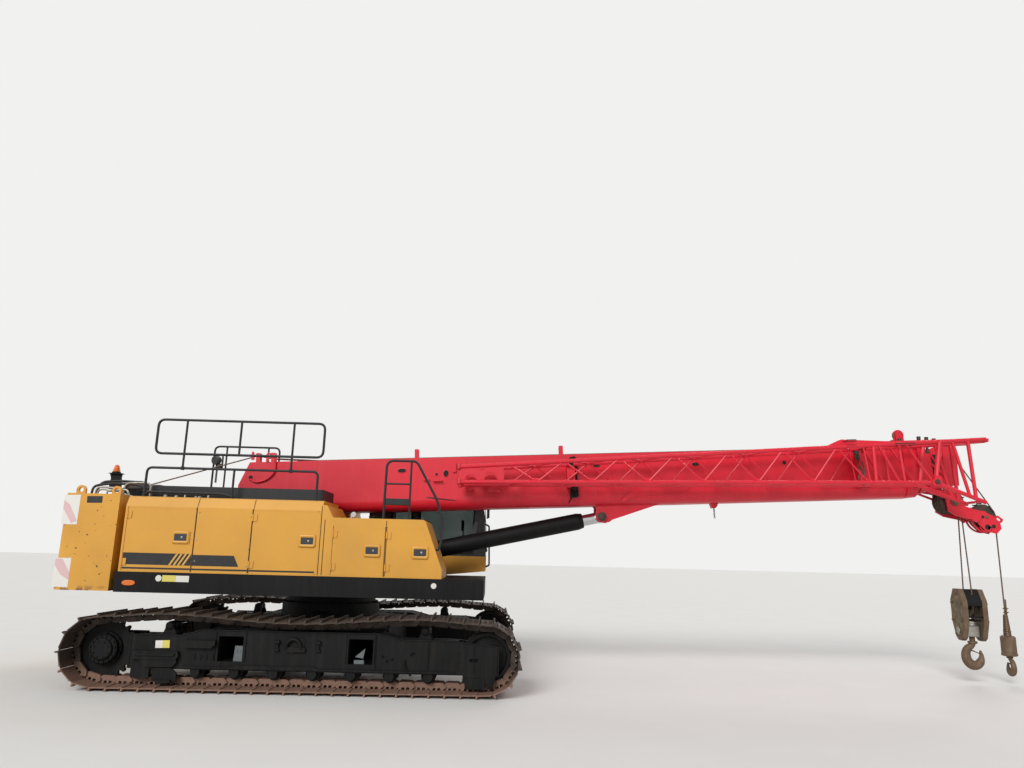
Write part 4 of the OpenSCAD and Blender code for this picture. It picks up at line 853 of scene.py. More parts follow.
        # Louvres of the cooler in the left house
        louvres = Form()
        for k in range(15):
            z = 1460 + k * 46
            louvres.sweep([[(x, SIDE + y, z + dz) for y, dz in ((0.2, 0), (16, -14), (17, -11), (0.2, 16))]
                           for x in (-1500, -880)])
        make_piece("cooler_louvres", louvres, "ochre_enamel", "upper")
        return {"FINISHED"}


# ---------------------------------------------------------------- deck gear


class CRANE_OT_deck_gear(bpy.types.Operator):
    """Adds the beacon, pipes, hoses and lamps of the upper works"""
    bl_idname = "crane.deck_gear"
    bl_label = "Deck gear"

    def execute(self, context):
        hose = context.scene.crane_sizes.hose / MM
        bracket = Form()
        bracket.prism([(-3290, 2450), (-3090, 2450), (-3112, 2660), (-3105, 2722), (-3295, 2722), (-3270, 2655)], -452,
                      -442)
        bracket.block((-3290, -500, 2712), (-3110, -380, 2724))
        bracket.turned((-3205, -440, 2724), (0, 0, 1), [(62, 0), (62, 16), (54, 22), (20, 22)], 24)
        make_piece("beacon_bracket", bracket, "black_enamel", "upper", bevel=2)
        lens = Form()
        rows = [(50, 0), (52, 10), (47, 16), (50, 22), (45, 28), (48, 34), (42, 44), (43, 52), (34, 74), (36, 80),
                (22, 98), (5, 104)]
        lens.turned((-3205, -440, 2746), (0, 0, 1), rows, 32)
        make_piece("beacon_lens", lens, "lamp_lens", "upper", smooth=25)

        def pipes(name, material, radius, bend, paths):
            form = Form()
            for path in paths:
                form.tube(path, bend, radius, 10)
            make_piece(name, form, material, "upper", smooth=60)

        pipes("pale_pipes", "zinc_steel", 13, 60, (
            [(-3190, -1000, 2358), (-3170, -1000, 2482), (-2900, -960, 2470), (-2840, -940, 2400), (-2700, -930, 2362)],
            [(-3120, -1080, 2358), (-3100, -1080, 2440), (-2830, -1060, 2436), (-2800, -1060, 2362)],
            [(-2800, -1020, 2362), (-2770, -1020, 2540), (-2560, -1000, 2552), (-2440, -990, 2548),
             (-2430, -990, 2346)],
            [(-2960, -1140, 2358), (-2950, -1140, 2420), (-2680, -1140, 2440), (-2650, -1150, 2362)]))
        pipes("deck_hoses", "hose_rubber", hose * 1.25, 120, (
            [(-3260, -820, 2358), (-3230, -820, 2560), (-2990, -800, 2585), (-2560, -780, 2568), (-2420, -760, 2350)],
            [(-3300, -880, 2358), (-3285, -880, 2500), (-3040, -860, 2545), (-2620, -850, 2530), (-2480, -840, 2350)],
            [(-2960, -760, 2370), (-2900, -740, 2480), (-2560, -700, 2500), (-2380, -640, 2440), (-2360, -560, 2346)],
            [(-2380, -1330, 2346), (-2300, -1330, 2410), (-1300, -1335, 2404), (-1100, -1335, 2346)]))
        pipes("loom_to_boom_foot", "hose_rubber", hose, 140, (
            [(-1780, y, 2246), (-1600, y, 2480), (-1390, y, 2560), (-1180, y, 2520), (-1010, y, 2330), (-980, y, 1880)]
            for y in (-408, -376, 376, 408)))
        pipes("swing_motor_hoses", "hose_rubber", hose, 150, (
            [(-400 + 60 * k, -300 + 90 * k, 1362), (-380 + 60 * k, -300 + 90 * k, 1560), (-120, -280 + 90 * k, 1640),
             (160, -260 + 90 * k, 1560), (200, -240 + 90 * k, 1362)] for k in range(5)))

        motor = Form()
        motor.turned((-40, -150, DECK), (0, 0, 1), [(150, 0), (150, 30), (120, 40), (120, 210), (140, 216), (140, 240),
                                                    (92, 246), (92, 350), (60, 362), (20, 364)], 36)
        motor.turned((-40, 190, DECK), (0, 0, 1), [(60, 0), (60, 120), (80, 126), (80, 190), (30, 200)], 30)
        make_piece("swing_drive", motor, "black_enamel", "upper", smooth=40)

        # Hydraulic motors and bolted caps at the ends of both drums
        for name, x, z in DRUMS:
            ends = Form()
            for side in (-1, 1):
                ends.turned((x, side * 440.3, z), (0, side, 0),
                            [(190, 0), (190, 14), (120, 16), (120, 34), (60, 38), (60, 52), (10, 54)], 40)
                for px, pz in circle(12, 158, x, z):
                    ends.rod((px, side * 456.1, pz), (px, side * 468.74, pz), 11, sides=6)
            make_piece(f"{name}_winch_caps", ends, "black_enamel", "upper", smooth=40)

        lamp = Form()
        lamp.block((-2412, 1368, 2770), (-2384, 1392, 3232))
        lamp.block((-2330, 1372, 2990), (-2300, 1388, 3226))
        lamp.turned((-2405, 1340, 3150), (-0.4, -1, -0.15), [(20, -70), (66, -50), (78, 0), (78, 40), (66, 48)], 28)
        lamp.turned((-2360, 1350, 3050), (-0.4, -1, -0.15), [(16, -40), (44, -30), (50, 0), (50, 26), (40, 32)], 24)
        make_piece("rear_work_lamp", lamp, "moulded_plastic", "upper", bevel=3)

        return {"FINISHED"}


# ---------------------------------------------------------------- cab


class CRANE_OT_cab_fittings(bpy.types.Operator):
    """Adds window seals, wiper, mirror, handles, seat cushions and levers to the cab"""
    bl_idname = "crane.cab_fittings"
    bl_label = "Cab fittings"

    def execute(self, context):
        # Rubber seals round the window openings, as closed tubes
        seals = Form()
        for corners, r in (([(x, CAB_IN - 2, z) for x, z in rect(700, 1700, 2060, 2820)], 13),
                           ([(x, CAB_OUT - 2, z) for x, z in rect(560, 1800, 960, 2820)], 6),
                           ([(398, y, z) for y, z in rect(600, 1900, 1340, 2780)], 11)):
            for a, b in zip(corners, corners[1:] + corners[:1]):
                seals.rod(a, b, r, sides=8)
        make_piece("window_seals", seals, "hose_rubber", "upper", smooth=60)

        # Wiper on the windscreen: arm, blade and motor cover
        lean = lambda z: 2212 - (z - 2378) * 122 / 472 if z > 2378 else 2260 - (z - 1640) * 48 / 738
        wiper = Form()
        wiper.rod((lean(1760) + 16, 900, 1760), (lean(2420) + 22, 1130, 2420), 9, 5, 8)
        wiper.rod((lean(2180) + 14, 1190, 2180), (lean(2640) + 14, 1060, 2640), 8, sides=8)
        wiper.turned((lean(1760) + 4, 900, 1760), (1, 0, 0), [(34, -2), (34, 14), (22, 24), (8, 26)], 20)
        make_piece("wiper", wiper, "moulded_plastic", "upper", smooth=50)

        # Grey stay from the cab's inner side to its roof, with a hand rail
        stay = Form()
        stay.sweep([[(x, CAB_IN - y, z) for x, z in line] for y,
                    line in ( (2, ((1990, 1890), (2042, 1892), (2100, 2004), (2130, 2200), (2080, 2200),
                                   (2054, 2149))), (26,
                                                    ((1994, 1894), (2040, 1896), (2096, 2006), (2124, 2196),
                                                     (2084, 2196), (2058, 2147))))])
        make_piece("cab_stay", stay, "engine_enamel", "upper", bevel=3)
        rails = Form()
        for path in ([(2140, CAB_OUT + 4, 1500), (2140, CAB_OUT + 58, 1520), (2140, CAB_OUT + 58, 2280),
                      (2140, CAB_OUT + 4, 2300)],
                     [(2262, 620, 1500), (2318, 620, 1520), (2300, 620, 2140), (2232, 620, 2160)],
                     [(820, 520, 2982), (820, 520, 3040), (2000, 520, 3040), (2000, 520, 2960)]):
            rails.tube(path, 50, 14, 10)
        make_piece("cab_grab_rails", rails, "rail_enamel", "upper", smooth=60)

        # Two work lamps on the roof's front edge, and a mirror on a bent arm
        lamps, glass = Form(), Form()
        for y in (640, 1300):
            lamps.block((1990, y - 12, 2960), (2020, y + 12, 3006))
            lamps.turned((1998, y, 3052), (1, 0, -0.25), [(30, -44), (70, -30), (78, 6), (78, 26), (70, 30)], 28)
            glass.turned(crane(1998, y, 3052) + Vector((0.029, 0, -0.007)), (1, 0, -0.25),
                         [(68, 0), (68, 3), (40, 9), (6, 11)], 28)
        make_piece("cab_work_lamps", lamps, "moulded_plastic", "upper", bevel=2)
        make_piece("cab_lamp_lenses", glass, "clear_lens", "upper", smooth=60)
        mirror = Form()
        mirror.tube(((2120, 500, 2700), (2230, 430, 2700), (2270, 410, 2620), (2270, 410, 2240)), 60, 11, 8)
        mirror.along_x(round_rect(410, 2400, 170, 300, 30), 2276, 2302)
        make_piece("cab_mirror", mirror, "moulded_plastic", "upper", bevel=3, smooth=50)
        face = Form()
        face.along_x(round_rect(410, 2400, 150, 280, 24), 2275.5, 2274)
        make_piece("cab_mirror_glass", face, "chrome_plate", "upper")

        # Door: handle, and rollers on the rails
        door = Form()
        y = 1467 + 40
        door.prism(round_rect(1180, 1640, 150, 84, 14), y + 12, y + 0.3)
        door.prism(round_rect(1192, 1640, 96, 30, 10), y + 30, y + 12)
        for x in (1150, 2030):
            for z in (1418, 2862):
                door.turned((x, 1500, z), (0, 1, 0), [(24, 6), (24, 26), (10, 30)], 16)
        make_piece("cab_door_handle", door, "moulded_plastic", "sliding_door", bevel=2)

        # Seat: two padded cushions over a shell, arm rests and head rest
        for name, centre, half, crown in (("seat_cushion", (1010, CAB_MID, 1790), (235, 225, 60), (0, 0, 1)),
                                          ("back_cushion", (705, CAB_MID, 2150), (62, 215, 300), (1, 0, 0)),
                                          ("head_cushion", (662, CAB_MID, 2545), (46, 120, 80), (1, 0, 0))):
            n = 14
            spots = [(i / n * 2 - 1, j / n * 2 - 1) for i in range(n + 1) for j in range(n + 1)]
            shell, faces = [], []
            for s in (1, -1):
                for u, v in spots:
                    edge = (1 - abs(u) ** 4) * (1 - abs(v) ** 4)
                    lift = edge ** 0.35 * (1 if s > 0 else 0.55)
                    groove = 0.10 * math.exp(-((abs(v) - 0.58) / 0.05) ** 2)
                    groove += 0.06 * math.exp(-((abs(u) - 0.05) / 0.05) ** 2)
                    lift -= groove if s > 0 else 0
                    pull = 1 - 0.035 * (1 - edge)
                    a, b = u * pull * (1 - 0.04 * v * v), v * pull * (1 - 0.04 * u * u)
                    if crown[2]:
                        p = (centre[0] + a * half[0], centre[1] + b * half[1], centre[2] + s * lift * half[2])
                    else:
                        tilt = (centre[2] - 2150 + a * half[2]) * -0.13
                        p = (centre[0] + s * lift * half[0] + tilt * (1 if name == "back_cushion" else 0),
                             centre[1] + b * half[1], centre[2] + a * half[2])
                    shell.append(crane(*p))
            grid = (n + 1) ** 2
            for i in range(n):
                for j in range(n):
                    q = (i * (n + 1) + j, (i + 1) * (n + 1) + j, (i + 1) * (n + 1) + j + 1, i * (n + 1) + j + 1)
                    faces += [q, tuple(grid + k for k in reversed(q))]
            rim = [i * (n + 1) for i in range(n)] + [n * (n + 1) + j for j in range(n)]
            rim += [(n - i) * (n + 1) + n for i in range(n)] + [n - j for j in range(n)]
            faces += [(rim[k], rim[k - 1], grid + rim[k - 1], grid + rim[k]) for k in range(len(rim))]
            pad = Form()
            pad.add(shell, faces)
            piece = make_piece(name, pad, "vinyl_seat", "upper", smooth=70)
        base = Form()
        base.block((800, CAB_MID - 160, CAB_FLOOR), (1200, CAB_MID + 160, 1460))
        for k in range(6):
            waist, foot = 30 * (k % 2), 1462 + k * 38
            base.along_z(round_rect(1000, CAB_MID, 380 - waist, 300 - waist, 40), foot, foot + 36)
        base.block((770, CAB_MID - 210, 1690), (1235, CAB_MID + 210, 1728))
        base.along_x(round_rect(CAB_MID, 2120, 420, 700, 60), 700, 640)
        for s in (-1, 1):
            base.block((690, CAB_MID + s * 236 - 10, 1960), (720, CAB_MID + s * 236 + 10, 2010))
            base.along_x(round_rect(CAB_MID + s * 250, 2015, 62, 40, 16), 690, 1010)
        make_piece("seat_frame", base, "moulded_plastic", "upper", replaces=("seat",), bevel=3, smooth=50)

        # Consoles with gaitered levers, a screen without a picture, and pedals
        console, levers = Form(), Form()
        for s in (-1, 1):
            y = CAB_MID + s * 340
            console.sweep([[(x, py, pz) for py, pz in round_rect(y, (CAB_FLOOR + top) / 2, 136, top - CAB_FLOOR, 24)]
                           for x, top in ((802, 1930), (1080, 1960), (1330, 1935), (1348, 1900))])
            for k in range(3):
                levers.turned((1260, y, 1955 + k * 16), (0, 0, 1),
                              [(46 - 9 * k, 0), (48 - 9 * k, 8), (40 - 9 * k, 15)], 20)
            levers.rod((1260, y, 1990), (1268, y, 2120), 11, sides=10)
            levers.sweep([[(px, py, z) for px, py in round_rect(1268, y, w, w * 0.86, w * 0.4)] for z,
                          w in ((2112, 30), (2124, 46), (2160, 42), (2190, 54), (2206, 50), (2212, 30))])
            for k in range(4):
                console.turned((930 + 60 * k, y - 20, 1944), (0, 0, 1), [(11, -6), (11, 12), (7, 15)], 12)
        console.along_x(round_rect(610, 2130, 230, 170, 16), 1860, 1900)
        console.rod((1882, 610, 2050), (1930, 560, 1700), 14, sides=10)
        for y in (880, 1060):
            console.sweep([[(1850 + dx - back, y + dy, 1436 + dz + rise) for dx, dy,
                            dz in ((0, -50, 0), (110, -50, 70), (110, 50, 70), (0, 50, 0))] for back,
                           rise in ((0, 0), (8, 14))])
        make_piece("cab_consoles", console, "moulded_plastic", "upper", replaces=("controls",), bevel=2, smooth=50)
        make_piece("cab_levers", levers, "hose_rubber", "upper", smooth=40)
        mat = Form()
        mat.block((500, 560, 1410.4), (1600, 1390, 1416))
        for k in range(20):
            mat.block((520 + 52 * k, 570, 1416), (536 + 52 * k, 1380, 1419))
        make_piece("cab_floor_mat", mat, "hose_rubber", "upper")
        return {"FINISHED"}


# ---------------------------------------------------------------- boom


class CRANE_OT_boom_fittings(bpy.types.Operator):
    """Adds hole rims, hoses, brackets and sheaves along the boom"""
    bl_idname = "crane.boom_fittings"
    bl_label = "Boom fittings"

    def execute(self, context):
        hose = context.scene.crane_sizes.hose / MM
        side = BOOM_SIDE

        # Round and oval holes in the right web: a dark plug of painted shade inside a raised red rim
        plugs, rims = Form(boom_point), Form(boom_point)
        for x, z, w, h, rim in ((2193, 375, 124, 62, 8), (2712, 307, 40, 40, 14), (2854, 315, 74, 100, 8),
                                (5128, 372, 110, 44, 6),
                                (6640, 360, 112, 56, 6), (-57, 330, 62, 62, 20), (8000, 350, 60, 60, 8)):
            outline, outer = ([(x + (w / 2 + more) * c, z + (h / 2 + more) * s) for c, s in circle(24, 1)]
                              for more in (0, rim))
            plugs.sweep([[(px, y, pz) for px, pz in outline] for y in (side - 0.4, side - 1.6)])
            rims.sweep([[(px, y, pz) for px, pz in line] for line,
                        y in ((outer, side - 0.3), (outer, side - 5), (outline, side - 6), (outline, side - 0.3))],
                       closed=True)
        make_piece("boom_hole_shadow", plugs, "seam_shadow", "boom")
        make_piece("boom_hole_rims", rims, "red_enamel", "boom", smooth=30)

        # Small welded brackets, the fixing eyes of the stowed jib and a clamp row
        bits = Form(boom_point)
        for x0, x1, z0, z1, out in ((2520, 2608, 214, 236, 46), (2660, 2800, 196, 216, 60), (3153, 3253, 31, 91, 90),
                                    (3471, 3671, 6, 82, 130), (2960, 3010, 330, 470, 30), (5130, 5180, -60, 330, 10)):
            bits.prism(rect(x0, z0, x1, z1), side - out, side + 4)
        for x in (5368, 7480, 9030):
            bits.sweep([[(x + dx, y, z) for dx in (-5, 5) for y in ((side, side - 4) if dx < 0 else (side - 4, side))]
                        for z in (-60, 540)])
        bits.prism(((6890, -218), (7010, -218), (6990, -268), (6960, -296), (6910, -290)), 40, -60)
        for x in (3300, 4100, 5900, 6700, 7500, 8300, 9100):
            bits.sweep([[(x + dx, y, z) for dx, z in ((-20, 557), (20, 557), (14, 590), (-14, 590))]
                        for y in (90, 130)])
        make_piece("boom_brackets", bits, "red_enamel", "boom", bevel=3)

        # The dark catch that holds the jib, with its roller under the lower chord
        catch = Form(boom_point)
        catch.prism(((4706, -110), (4830, -90), (4826, 130), (4812, 300), (4836, 470), (4790, 520), (4716, 500),
                     (4740, 330), (4722, 120)), side - 90, side - 20)
        catch.turned((4765, side - 150, 38), (0, 1, 0), [(22, -60), (44, -56), (44, 56), (22, 60)], 24)
        for z in (430, 210, -50):
            catch.turned((4772, side - 92, z), (0, -1, 0), [(26, 0), (26, 12), (14, 16), (14, 30), (4, 30)], 6)
        catch.tube(((4790, side - 80, 480), (4840, side - 110, 400), (4690, side - 110, 250), (4800, side - 100, 60),
                    (4740, side - 90, -60), (4680, side - 40, -180)), 80, hose * 0.7, 8)
        make_piece("jib_catch", catch, "black_enamel", "boom", bevel=3)

        # Ends of the pins at the ram's head and the boom's foot, with their bolts
        for name, body, place, (x, z), half, rows, bolts, reach, r in (
                ("ram_head_pins", "boom", boom_point, RAM_PIN, 241, [(66, 0), (66, 10), (48, 12), (48, 26), (10, 28)],
                 circle(3, 0.056), 0.02, 8),
                ("boom_foot_pins", "upper", crane, FOOT, 454.4, [(58, 0), (58, 10), (38, 12), (38, 24), (10, 26)],
                 circle(4, 0.048, start=math.pi / 4), 0.019, 7)):
            pins = Form(place)
            for s in (-1, 1):
                spot = place(x, s * half, z)
                pins.turned(spot, (0, s, 0), rows, 32 if len(bolts) == 3 else 36)
                for dx, dz in bolts:
                    at = spot + Vector((dx, 0, dz))
                    pins.rod(at, at + Vector((0, s * reach, 0)), r, sides=6)
            make_piece(name, pins, "worn_sheave_steel", body, smooth=40)

        # Painted hose loop at the tail, and the cable that hangs along the belly
        tail = Form(boom_point)
        tail.tube(((190, side - 20, 690), (300, side - 24, 640), (310, side - 26, 400), (180, side - 22, 280),
                   (20, side - 18, 250), (-60, side - 14, 300)), 90, hose, 10)
        make_piece("tail_hose", tail, "red_enamel", "boom", smooth=60)
        brackets = Form(boom_point)
        for x, z in ((-35, 660), (185, 630), (300, 610)):
            brackets.sweep([[(x + dx, y, z + dz) for dx, dz in ((-22, -70), (24, -70), (18, 40), (0, 62), (-18, 40))]
                            for y in (side + 2, side - 26)])
        make_piece("tail_brackets", brackets, "red_enamel", "boom", bevel=3)
        cable = Form(boom_point)
        cable.tube(((2450, side + 20, -20), (2690, side - 8, -52), (3000, side + 6, -92), (3290, side + 60, -140),
                    (3310, side + 120, -214)), 100, hose * 0.6, 8)
        chain = [boom_point(6950, -10, -300 - 26 * k) for k in range(6)]
        for k, at in enumerate(chain):
            level = Vector((1, 0, 0)) if k % 2 else Vector((0, 1, 0))
            cable.pipe([at + level * 0.011 * c + Vector((0, 0, 0.02 * s)) for c, s in circle(10, 1)], 3.5, 6,
                       closed=True)
        make_piece("belly_cable", cable, "hose_rubber", "boom", smooth=60)

        # Rollers in the rope guides and the guide sheave above the mouth
        rollers = Form(boom_point)
        for x in (-40, 190, 2390, 4625):
            for z in (572, 704):
                rollers.turned((x, 0, z), (0, 1, 0), [(10, -34), (14, -30), (14, 30), (10, 34)], 12)
        rollers.turned((MOUTH_SHEAVE[0], 0, MOUTH_SHEAVE[1]), (0, 1, 0),
                       [(22, -34), (70, -30), (80, -26), (62, -12), (62, 12), (80, 26), (70, 30), (22, 34)], 32)
        make_piece("rope_guide_rollers", rollers, "worn_sheave_steel", "boom", smooth=40)
        cheeks = Form(boom_point)
        for y0, y1 in ((-52, -40), (40, 52)):
            cheeks.sweep([[(MOUTH_SHEAVE[0] + dx, y, BASE_TOP + dz) for dx,
                           dz in ((-80, 0), (60, 0), (54, 120), (62, 214), (44, 272), (0, 292), (-44, 272), (-62, 214),
                                  (-54, 120))] for y in (y0, y1)])
        make_piece("mouth_sheave_cheeks", cheeks, "red_enamel", "boom", bevel=2)
        return {"FINISHED"}


# ---------------------------------------------------------------- boom head and jib


class CRANE_OT_head_fittings(bpy.types.Operator):
    """Adds axle nuts, stops, rods, cheek plates, the guide sheave and rope guards to the boom head"""
    bl_idname = "crane.head_fittings"
    bl_label = "Head fittings"

    def execute(self, context):
        nuts = Form(boom_point)
        for (x, z), half, r in ((HEAD, 195.5, 62), (NOSE, 97.5, 46)):
            for s in (-1, 1):
                nuts.turned((x, s * half, z), (0, s, 0),
                            [(r, -9), (r, 4), (r * 0.8, 8), (r * 0.55, 8), (r * 0.55, 22), (r * 0.2, 24)], 6
                            if r < 50 else 28)
        make_piece("sheave_axle_nuts", nuts, "rusty_hook_steel", "tip_section", smooth=40)

        # Stops and wear-pad screws on the edges of the section mouths
        for name, body, spots in (("base_mouth_stops", "boom", ((9930, 582),)),
                                  ("mid_mouth_stops", "mid_section", ((10110, 532),)),
                                  ("tip_mouth_stops", "tip_section", ((10290, 447), (10412, 447), (10530, 447)))):
            stops = Form(boom_point)
            for x, z in spots:
                tall = {10290: 300, 10412: 288, 10530: 262}.get(x, 128)
                for y in ((0,) if tall > 128 else (-110, 110)):
                    stops.turned((x, y, z), (0, 0, 1),
                                 [(34, 0), (34, 40), (20, 46), (20, tall - 62), (30, tall - 56), (30, tall - 6),
                                  (10, tall)], 20)
            make_piece(name, stops, "worn_sheave_steel", body, smooth=40)

        rods = Form(boom_point)
        for s in (-1, 1):
            for path in ([(10089, s * 176, -78), (10523, s * 190, -156)],
                         [(10172, s * 176, -108), (10511, s * 190, -245)],
                         [(10320, s * 190, 300), (10560, s * 186, 60)]):
                rods.pipe(path, 19, 10)
            # Frame welded round the slot in the head's cheek, and the stiffener below it
            for a, b in (((10655, -270), (10740, -280)), ((10655, -270), (10662, -350)), ((10662, -350), (10746, -356)),
                         ((10740, -280), (10742, -310))):
                rods.rod((a[0], s * 184, a[1]), (b[0], s * 184, b[1]), 9, sides=8)
            for a, b in (((10520, 470), (10690, 500)), ((10690, 500), (10696, 300)), ((10345, -90), (10480, -92)),
                         ((10500, -430), (10630, -512)), ((10800, -408), (10966, -450))):
                rods.rod((a[0], s * 181, a[1]), (b[0], s * 181, b[1]), 8, sides=8)
        make_piece("head_rods", rods, "red_enamel", "tip_section", smooth=40)

        # Upper cheeks round the guide sheave, braces between them, and the cheeks that hide the front sheave's foot
        plates, dark, braces = Form(boom_point), Form(boom_point), Form(boom_point)
        upper = ((10530, -60), (10723, -60), (10742, 240), (10758, 440), (10744, 520), (10706, 566), (10660, 580),
                 (10604, 566), (10556, 520), (10524, 300))
        lower = ((-147, 104), (-18, 76), (102, 16), (196, -80), (204, -180), (120, -256), (-40, -212), (-133, -116),
                 (-176, -52))
        for s in (-1, 1):
            plates.sweep([[(x, s * y, z) for x, z in upper] for y in (190.5, 198)])
            plates.sweep([[(NOSE[0] + x, s * y, NOSE[1] + z) for x, z in lower] for y in (99, 108)])
            plates.sweep([[(x, s * y, z) for x, z in ((10336, 430), (10560, 430), (10560, 566), (10470, 560),
                                                      (10336, 520))] for y in (184.5, 190)])
            # Dark discs of painted shade stand for holes in the lower cheeks
            for x, z, r in ((-62, 6, 24), (88, -142, 30), (-10, -150, 40), (26, -168, 34)):
                dark.turned((NOSE[0] + x, s * 108.2, NOSE[1] + z), (0, s, 0), [(r, 0), (r, 1.2)], 20)
            rim = [boom_point(NOSE[0] - 40 + 96 * math.cos(t), s * 112, NOSE[1] - 120 + 92 * math.sin(t))
                   for t in (math.radians(195 + 11 * k) for k in range(13))]
            braces.pipe(rim, 8, 8)
            for a, b in (((10350, 20), (10520, 430)), ((10350, 430), (10520, 60)), ((10345, 470), (10560, 540))):
                braces.rod((a[0], s * 186, a[1]), (b[0], s * 186, b[1]), 14, sides=8)
            # A dark panel of painted shade stands for the opening in the head's side
            dark.sweep([[(x, s * y, z) for x, z in rect(10352, 120, 10470, 440)] for y in (181, 184)])
        make_piece("head_cheek_plates", plates, "red_enamel", "tip_section", bevel=2)
        make_piece("head_braces", braces, "red_enamel", "tip_section", smooth=40)
        make_piece("head_opening_shade", dark, "seam_shadow", "tip_section")
        guide = Form(boom_point)
        guide.turned((GUIDE[0], 0, GUIDE[1]), (0, 1, 0),
                     [(30, -190), (30, -52), (88, -48), (88, -40), (78, -34), (88, -28), (88, 28), (78, 34), (88, 40),
                      (88, 48), (30, 52), (30, 190)], 40)
        make_piece("guide_sheave", guide, "worn_sheave_steel", "tip_section", smooth=40)

        guards = Form(boom_point)
        for x, z, r, span, half in ((*HEAD, 188, (20, 100), 140), (*NOSE, 214, (96, 176), 58)):
            for px, pz in circle(5, r, x, z, math.radians(span[0]), math.radians(span[1] - span[0]) * 5 / 4):
                guards.rod((px, -half, pz), (px, half, pz), 9, sides=8)
        # Slack-rope switch with its arm, and the wind gauge's stub
        guards.prism(((10700, 380), (10790, 372), (10796, 300), (10706, 300)), 240, 186)
        guards.rod((10640, 120, 505), (10640, 120, 640), 10, sides=8)
        guards.turned((10640, 120, 640), (0, 0, 1), [(10, 0), (26, 6), (26, 34), (8, 44)], 16)
        make_piece("rope_guards", guards, "black_enamel", "tip_section", smooth=40)
        hoses = Form(boom_point)
        for path in ([(10240, -150, 440), (10420, -176, 380), (10500, -178, 180), (10530, -186, 20),
                      (10560, -186, -100)],
                     [(10260, -90, 452), (10470, -120, 470), (10600, -176, 420), (10690, -190, 250),
                      (10640, -192, 80)]):
            hoses.tube(path, 100, 11, 8)
        make_piece("head_cables", hoses, "hose_rubber", "tip_section", smooth=60)
        return {"FINISHED"}


class CRANE_OT_jib_fittings(bpy.types.Operator):
    """Adds pins, gussets, slots and hangers to the stowed lattice jib"""
    bl_idname = "crane.jib_fittings"
    bl_label = "Jib fittings"

    def execute(self, context):
        tip, root, mid, tip_h, root_h = 3075, 9915, 232, 215, 585
        height = lambda x: tip_h + (root_h - tip_h) * (x - tip) / (root - tip)
        chord = lambda x, s: mid + s * height(x) / 2
        steel, paint, slots = Form(boom_point), Form(boom_point), Form(boom_point)
        # Bolted flanges at the slender end, with their pins
        for y in (-520, -960):
            for s in (-1, 1):
                z = chord(tip, s)
                paint.along_x(round_rect(y, z, 84, 84, 20), tip - 14, tip + 18)
                for dy, dz in rect(-27, -27, 27, 27):
                    steel.rod((tip - 24, y + dy, z + dz), (tip + 26, y + dy, z + dz), 8, sides=6)
        # Node plates where the lacing meets the chords
        for i in range(14):
            x = tip + 710 + (8940 - tip - 710) * i / 13
            for y in (-520, -960):
                s = 1 if (i + (y == -960)) % 2 else -1
                z = chord(x, s) - s * 30
                paint.sweep([[(x + dx, y + dy, z + dz) for dx,
                              dz in ((-52, 8 * s), (-30, -26 * s), (30, -26 * s), (52, 8 * s))][::s] for dy in (-4, 4)])
        # Heavy gussets and a grease-dark pivot at the strong end
        for y in (-995, -485):
            paint.sweep([[(x, y + dy, z) for x, z in ((9850, -40), (9930, 40), (9985, 20), (9995, -70), (9930, -110),
                                                      (9860, -100))] for dy in (-6, 6)])
            steel.turned((9925, y, -52), (0, 1, 0), [(20, -22), (36, -18), (36, 18), (20, 22)], 20)
        steel.prism(((8975, 470), (9050, 478), (9058, 380), (9030, 320), (8984, 340)), -540, -566)
        for x, z in ((9010, 430), (9030, 360)):
            steel.turned((x, -566, z), (0, -1, 0), [(20, -4), (20, 14), (8, 18)], 12)
        for x, z in ((8990, 300), (9070, 320), (9044, 240)):
            steel.tube([(x, -560, z), (x + 20, -600, z - 120), (x - 20, -620, z - 260)], 60, 9, 8)
        # Shackle and eye at the front of the beam, and its slots: dark sheets of painted shade whose edges show round
        # red strips
        steel.turned((10715, -910, 532), (0, 1, 0), [(12, -62), (24, -58), (24, 58), (12, 62)], 16)
        for x, z, long, strip in ((9500, 494, 290, 268), (8720, 563, 150, 130)):
            slots.prism(round_rect(x, z, long, 34, 12), -1061.4, -1060.4)
            paint.prism(round_rect(x, z - 3, strip, 12, 5), -1062.6, -1061.6)
        make_piece("jib_pins", steel, "worn_sheave_steel", "boom", smooth=40)
        make_piece("jib_gussets", paint, "red_enamel", "boom", bevel=2)
        make_piece("jib_beam_slot_shade", slots, "seam_shadow", "boom")

        # Hanger straps from the boom to the upper chord, each with its pin
        for k, x in enumerate((4720, 9130)):
            hanger = Form(boom_point)
            for y0, y1 in ((-560, -548), (-492, -480)):
                hanger.sweep([[(x + dx, y, z) for dx,
                               z in ((-34, chord(x, 1) - 20), (34, chord(x, 1) - 20), (30, chord(x, 1) + 60),
                                     (-30, chord(x, 1) + 60))] for y in (y0, y1)])
            hanger.rod((x, -580, chord(x, 1) + 44), (x, -470, chord(x, 1) + 44), 11, sides=10)
            make_piece(f"jib_hanger_{k + 1}", hanger, "black_enamel", "boom", bevel=2)
        return {"FINISHED"}


# ---------------------------------------------------------------- hooks


def hook_line(size):
    """Middle line of a forged single hook that hangs from (0, 0), as rows of x, z, half width, half depth"""
    rows = [(0, 0.17, 0.13, 0.13), (0, -0.06, 0.13, 0.13), (-0.01, -0.17, 0.14, 0.14)]
    for k in range(24):
        share = k / 23
        t = math.radians(108 + 274 * share)
        thick = 0.16 + 0.075 * math.sin(math.pi * min(1, share * 1.1)) - 0.09 * max(0, share - 0.8) / 0.2
        rows.append((0.36 * math.cos(t), -0.71 + 0.46 * math.sin(t), thick, thick * 0.85))
    rows.append((0.33, -0.45, 0.04, 0.04))
    return [tuple(v * size for v in row) for row in rows]


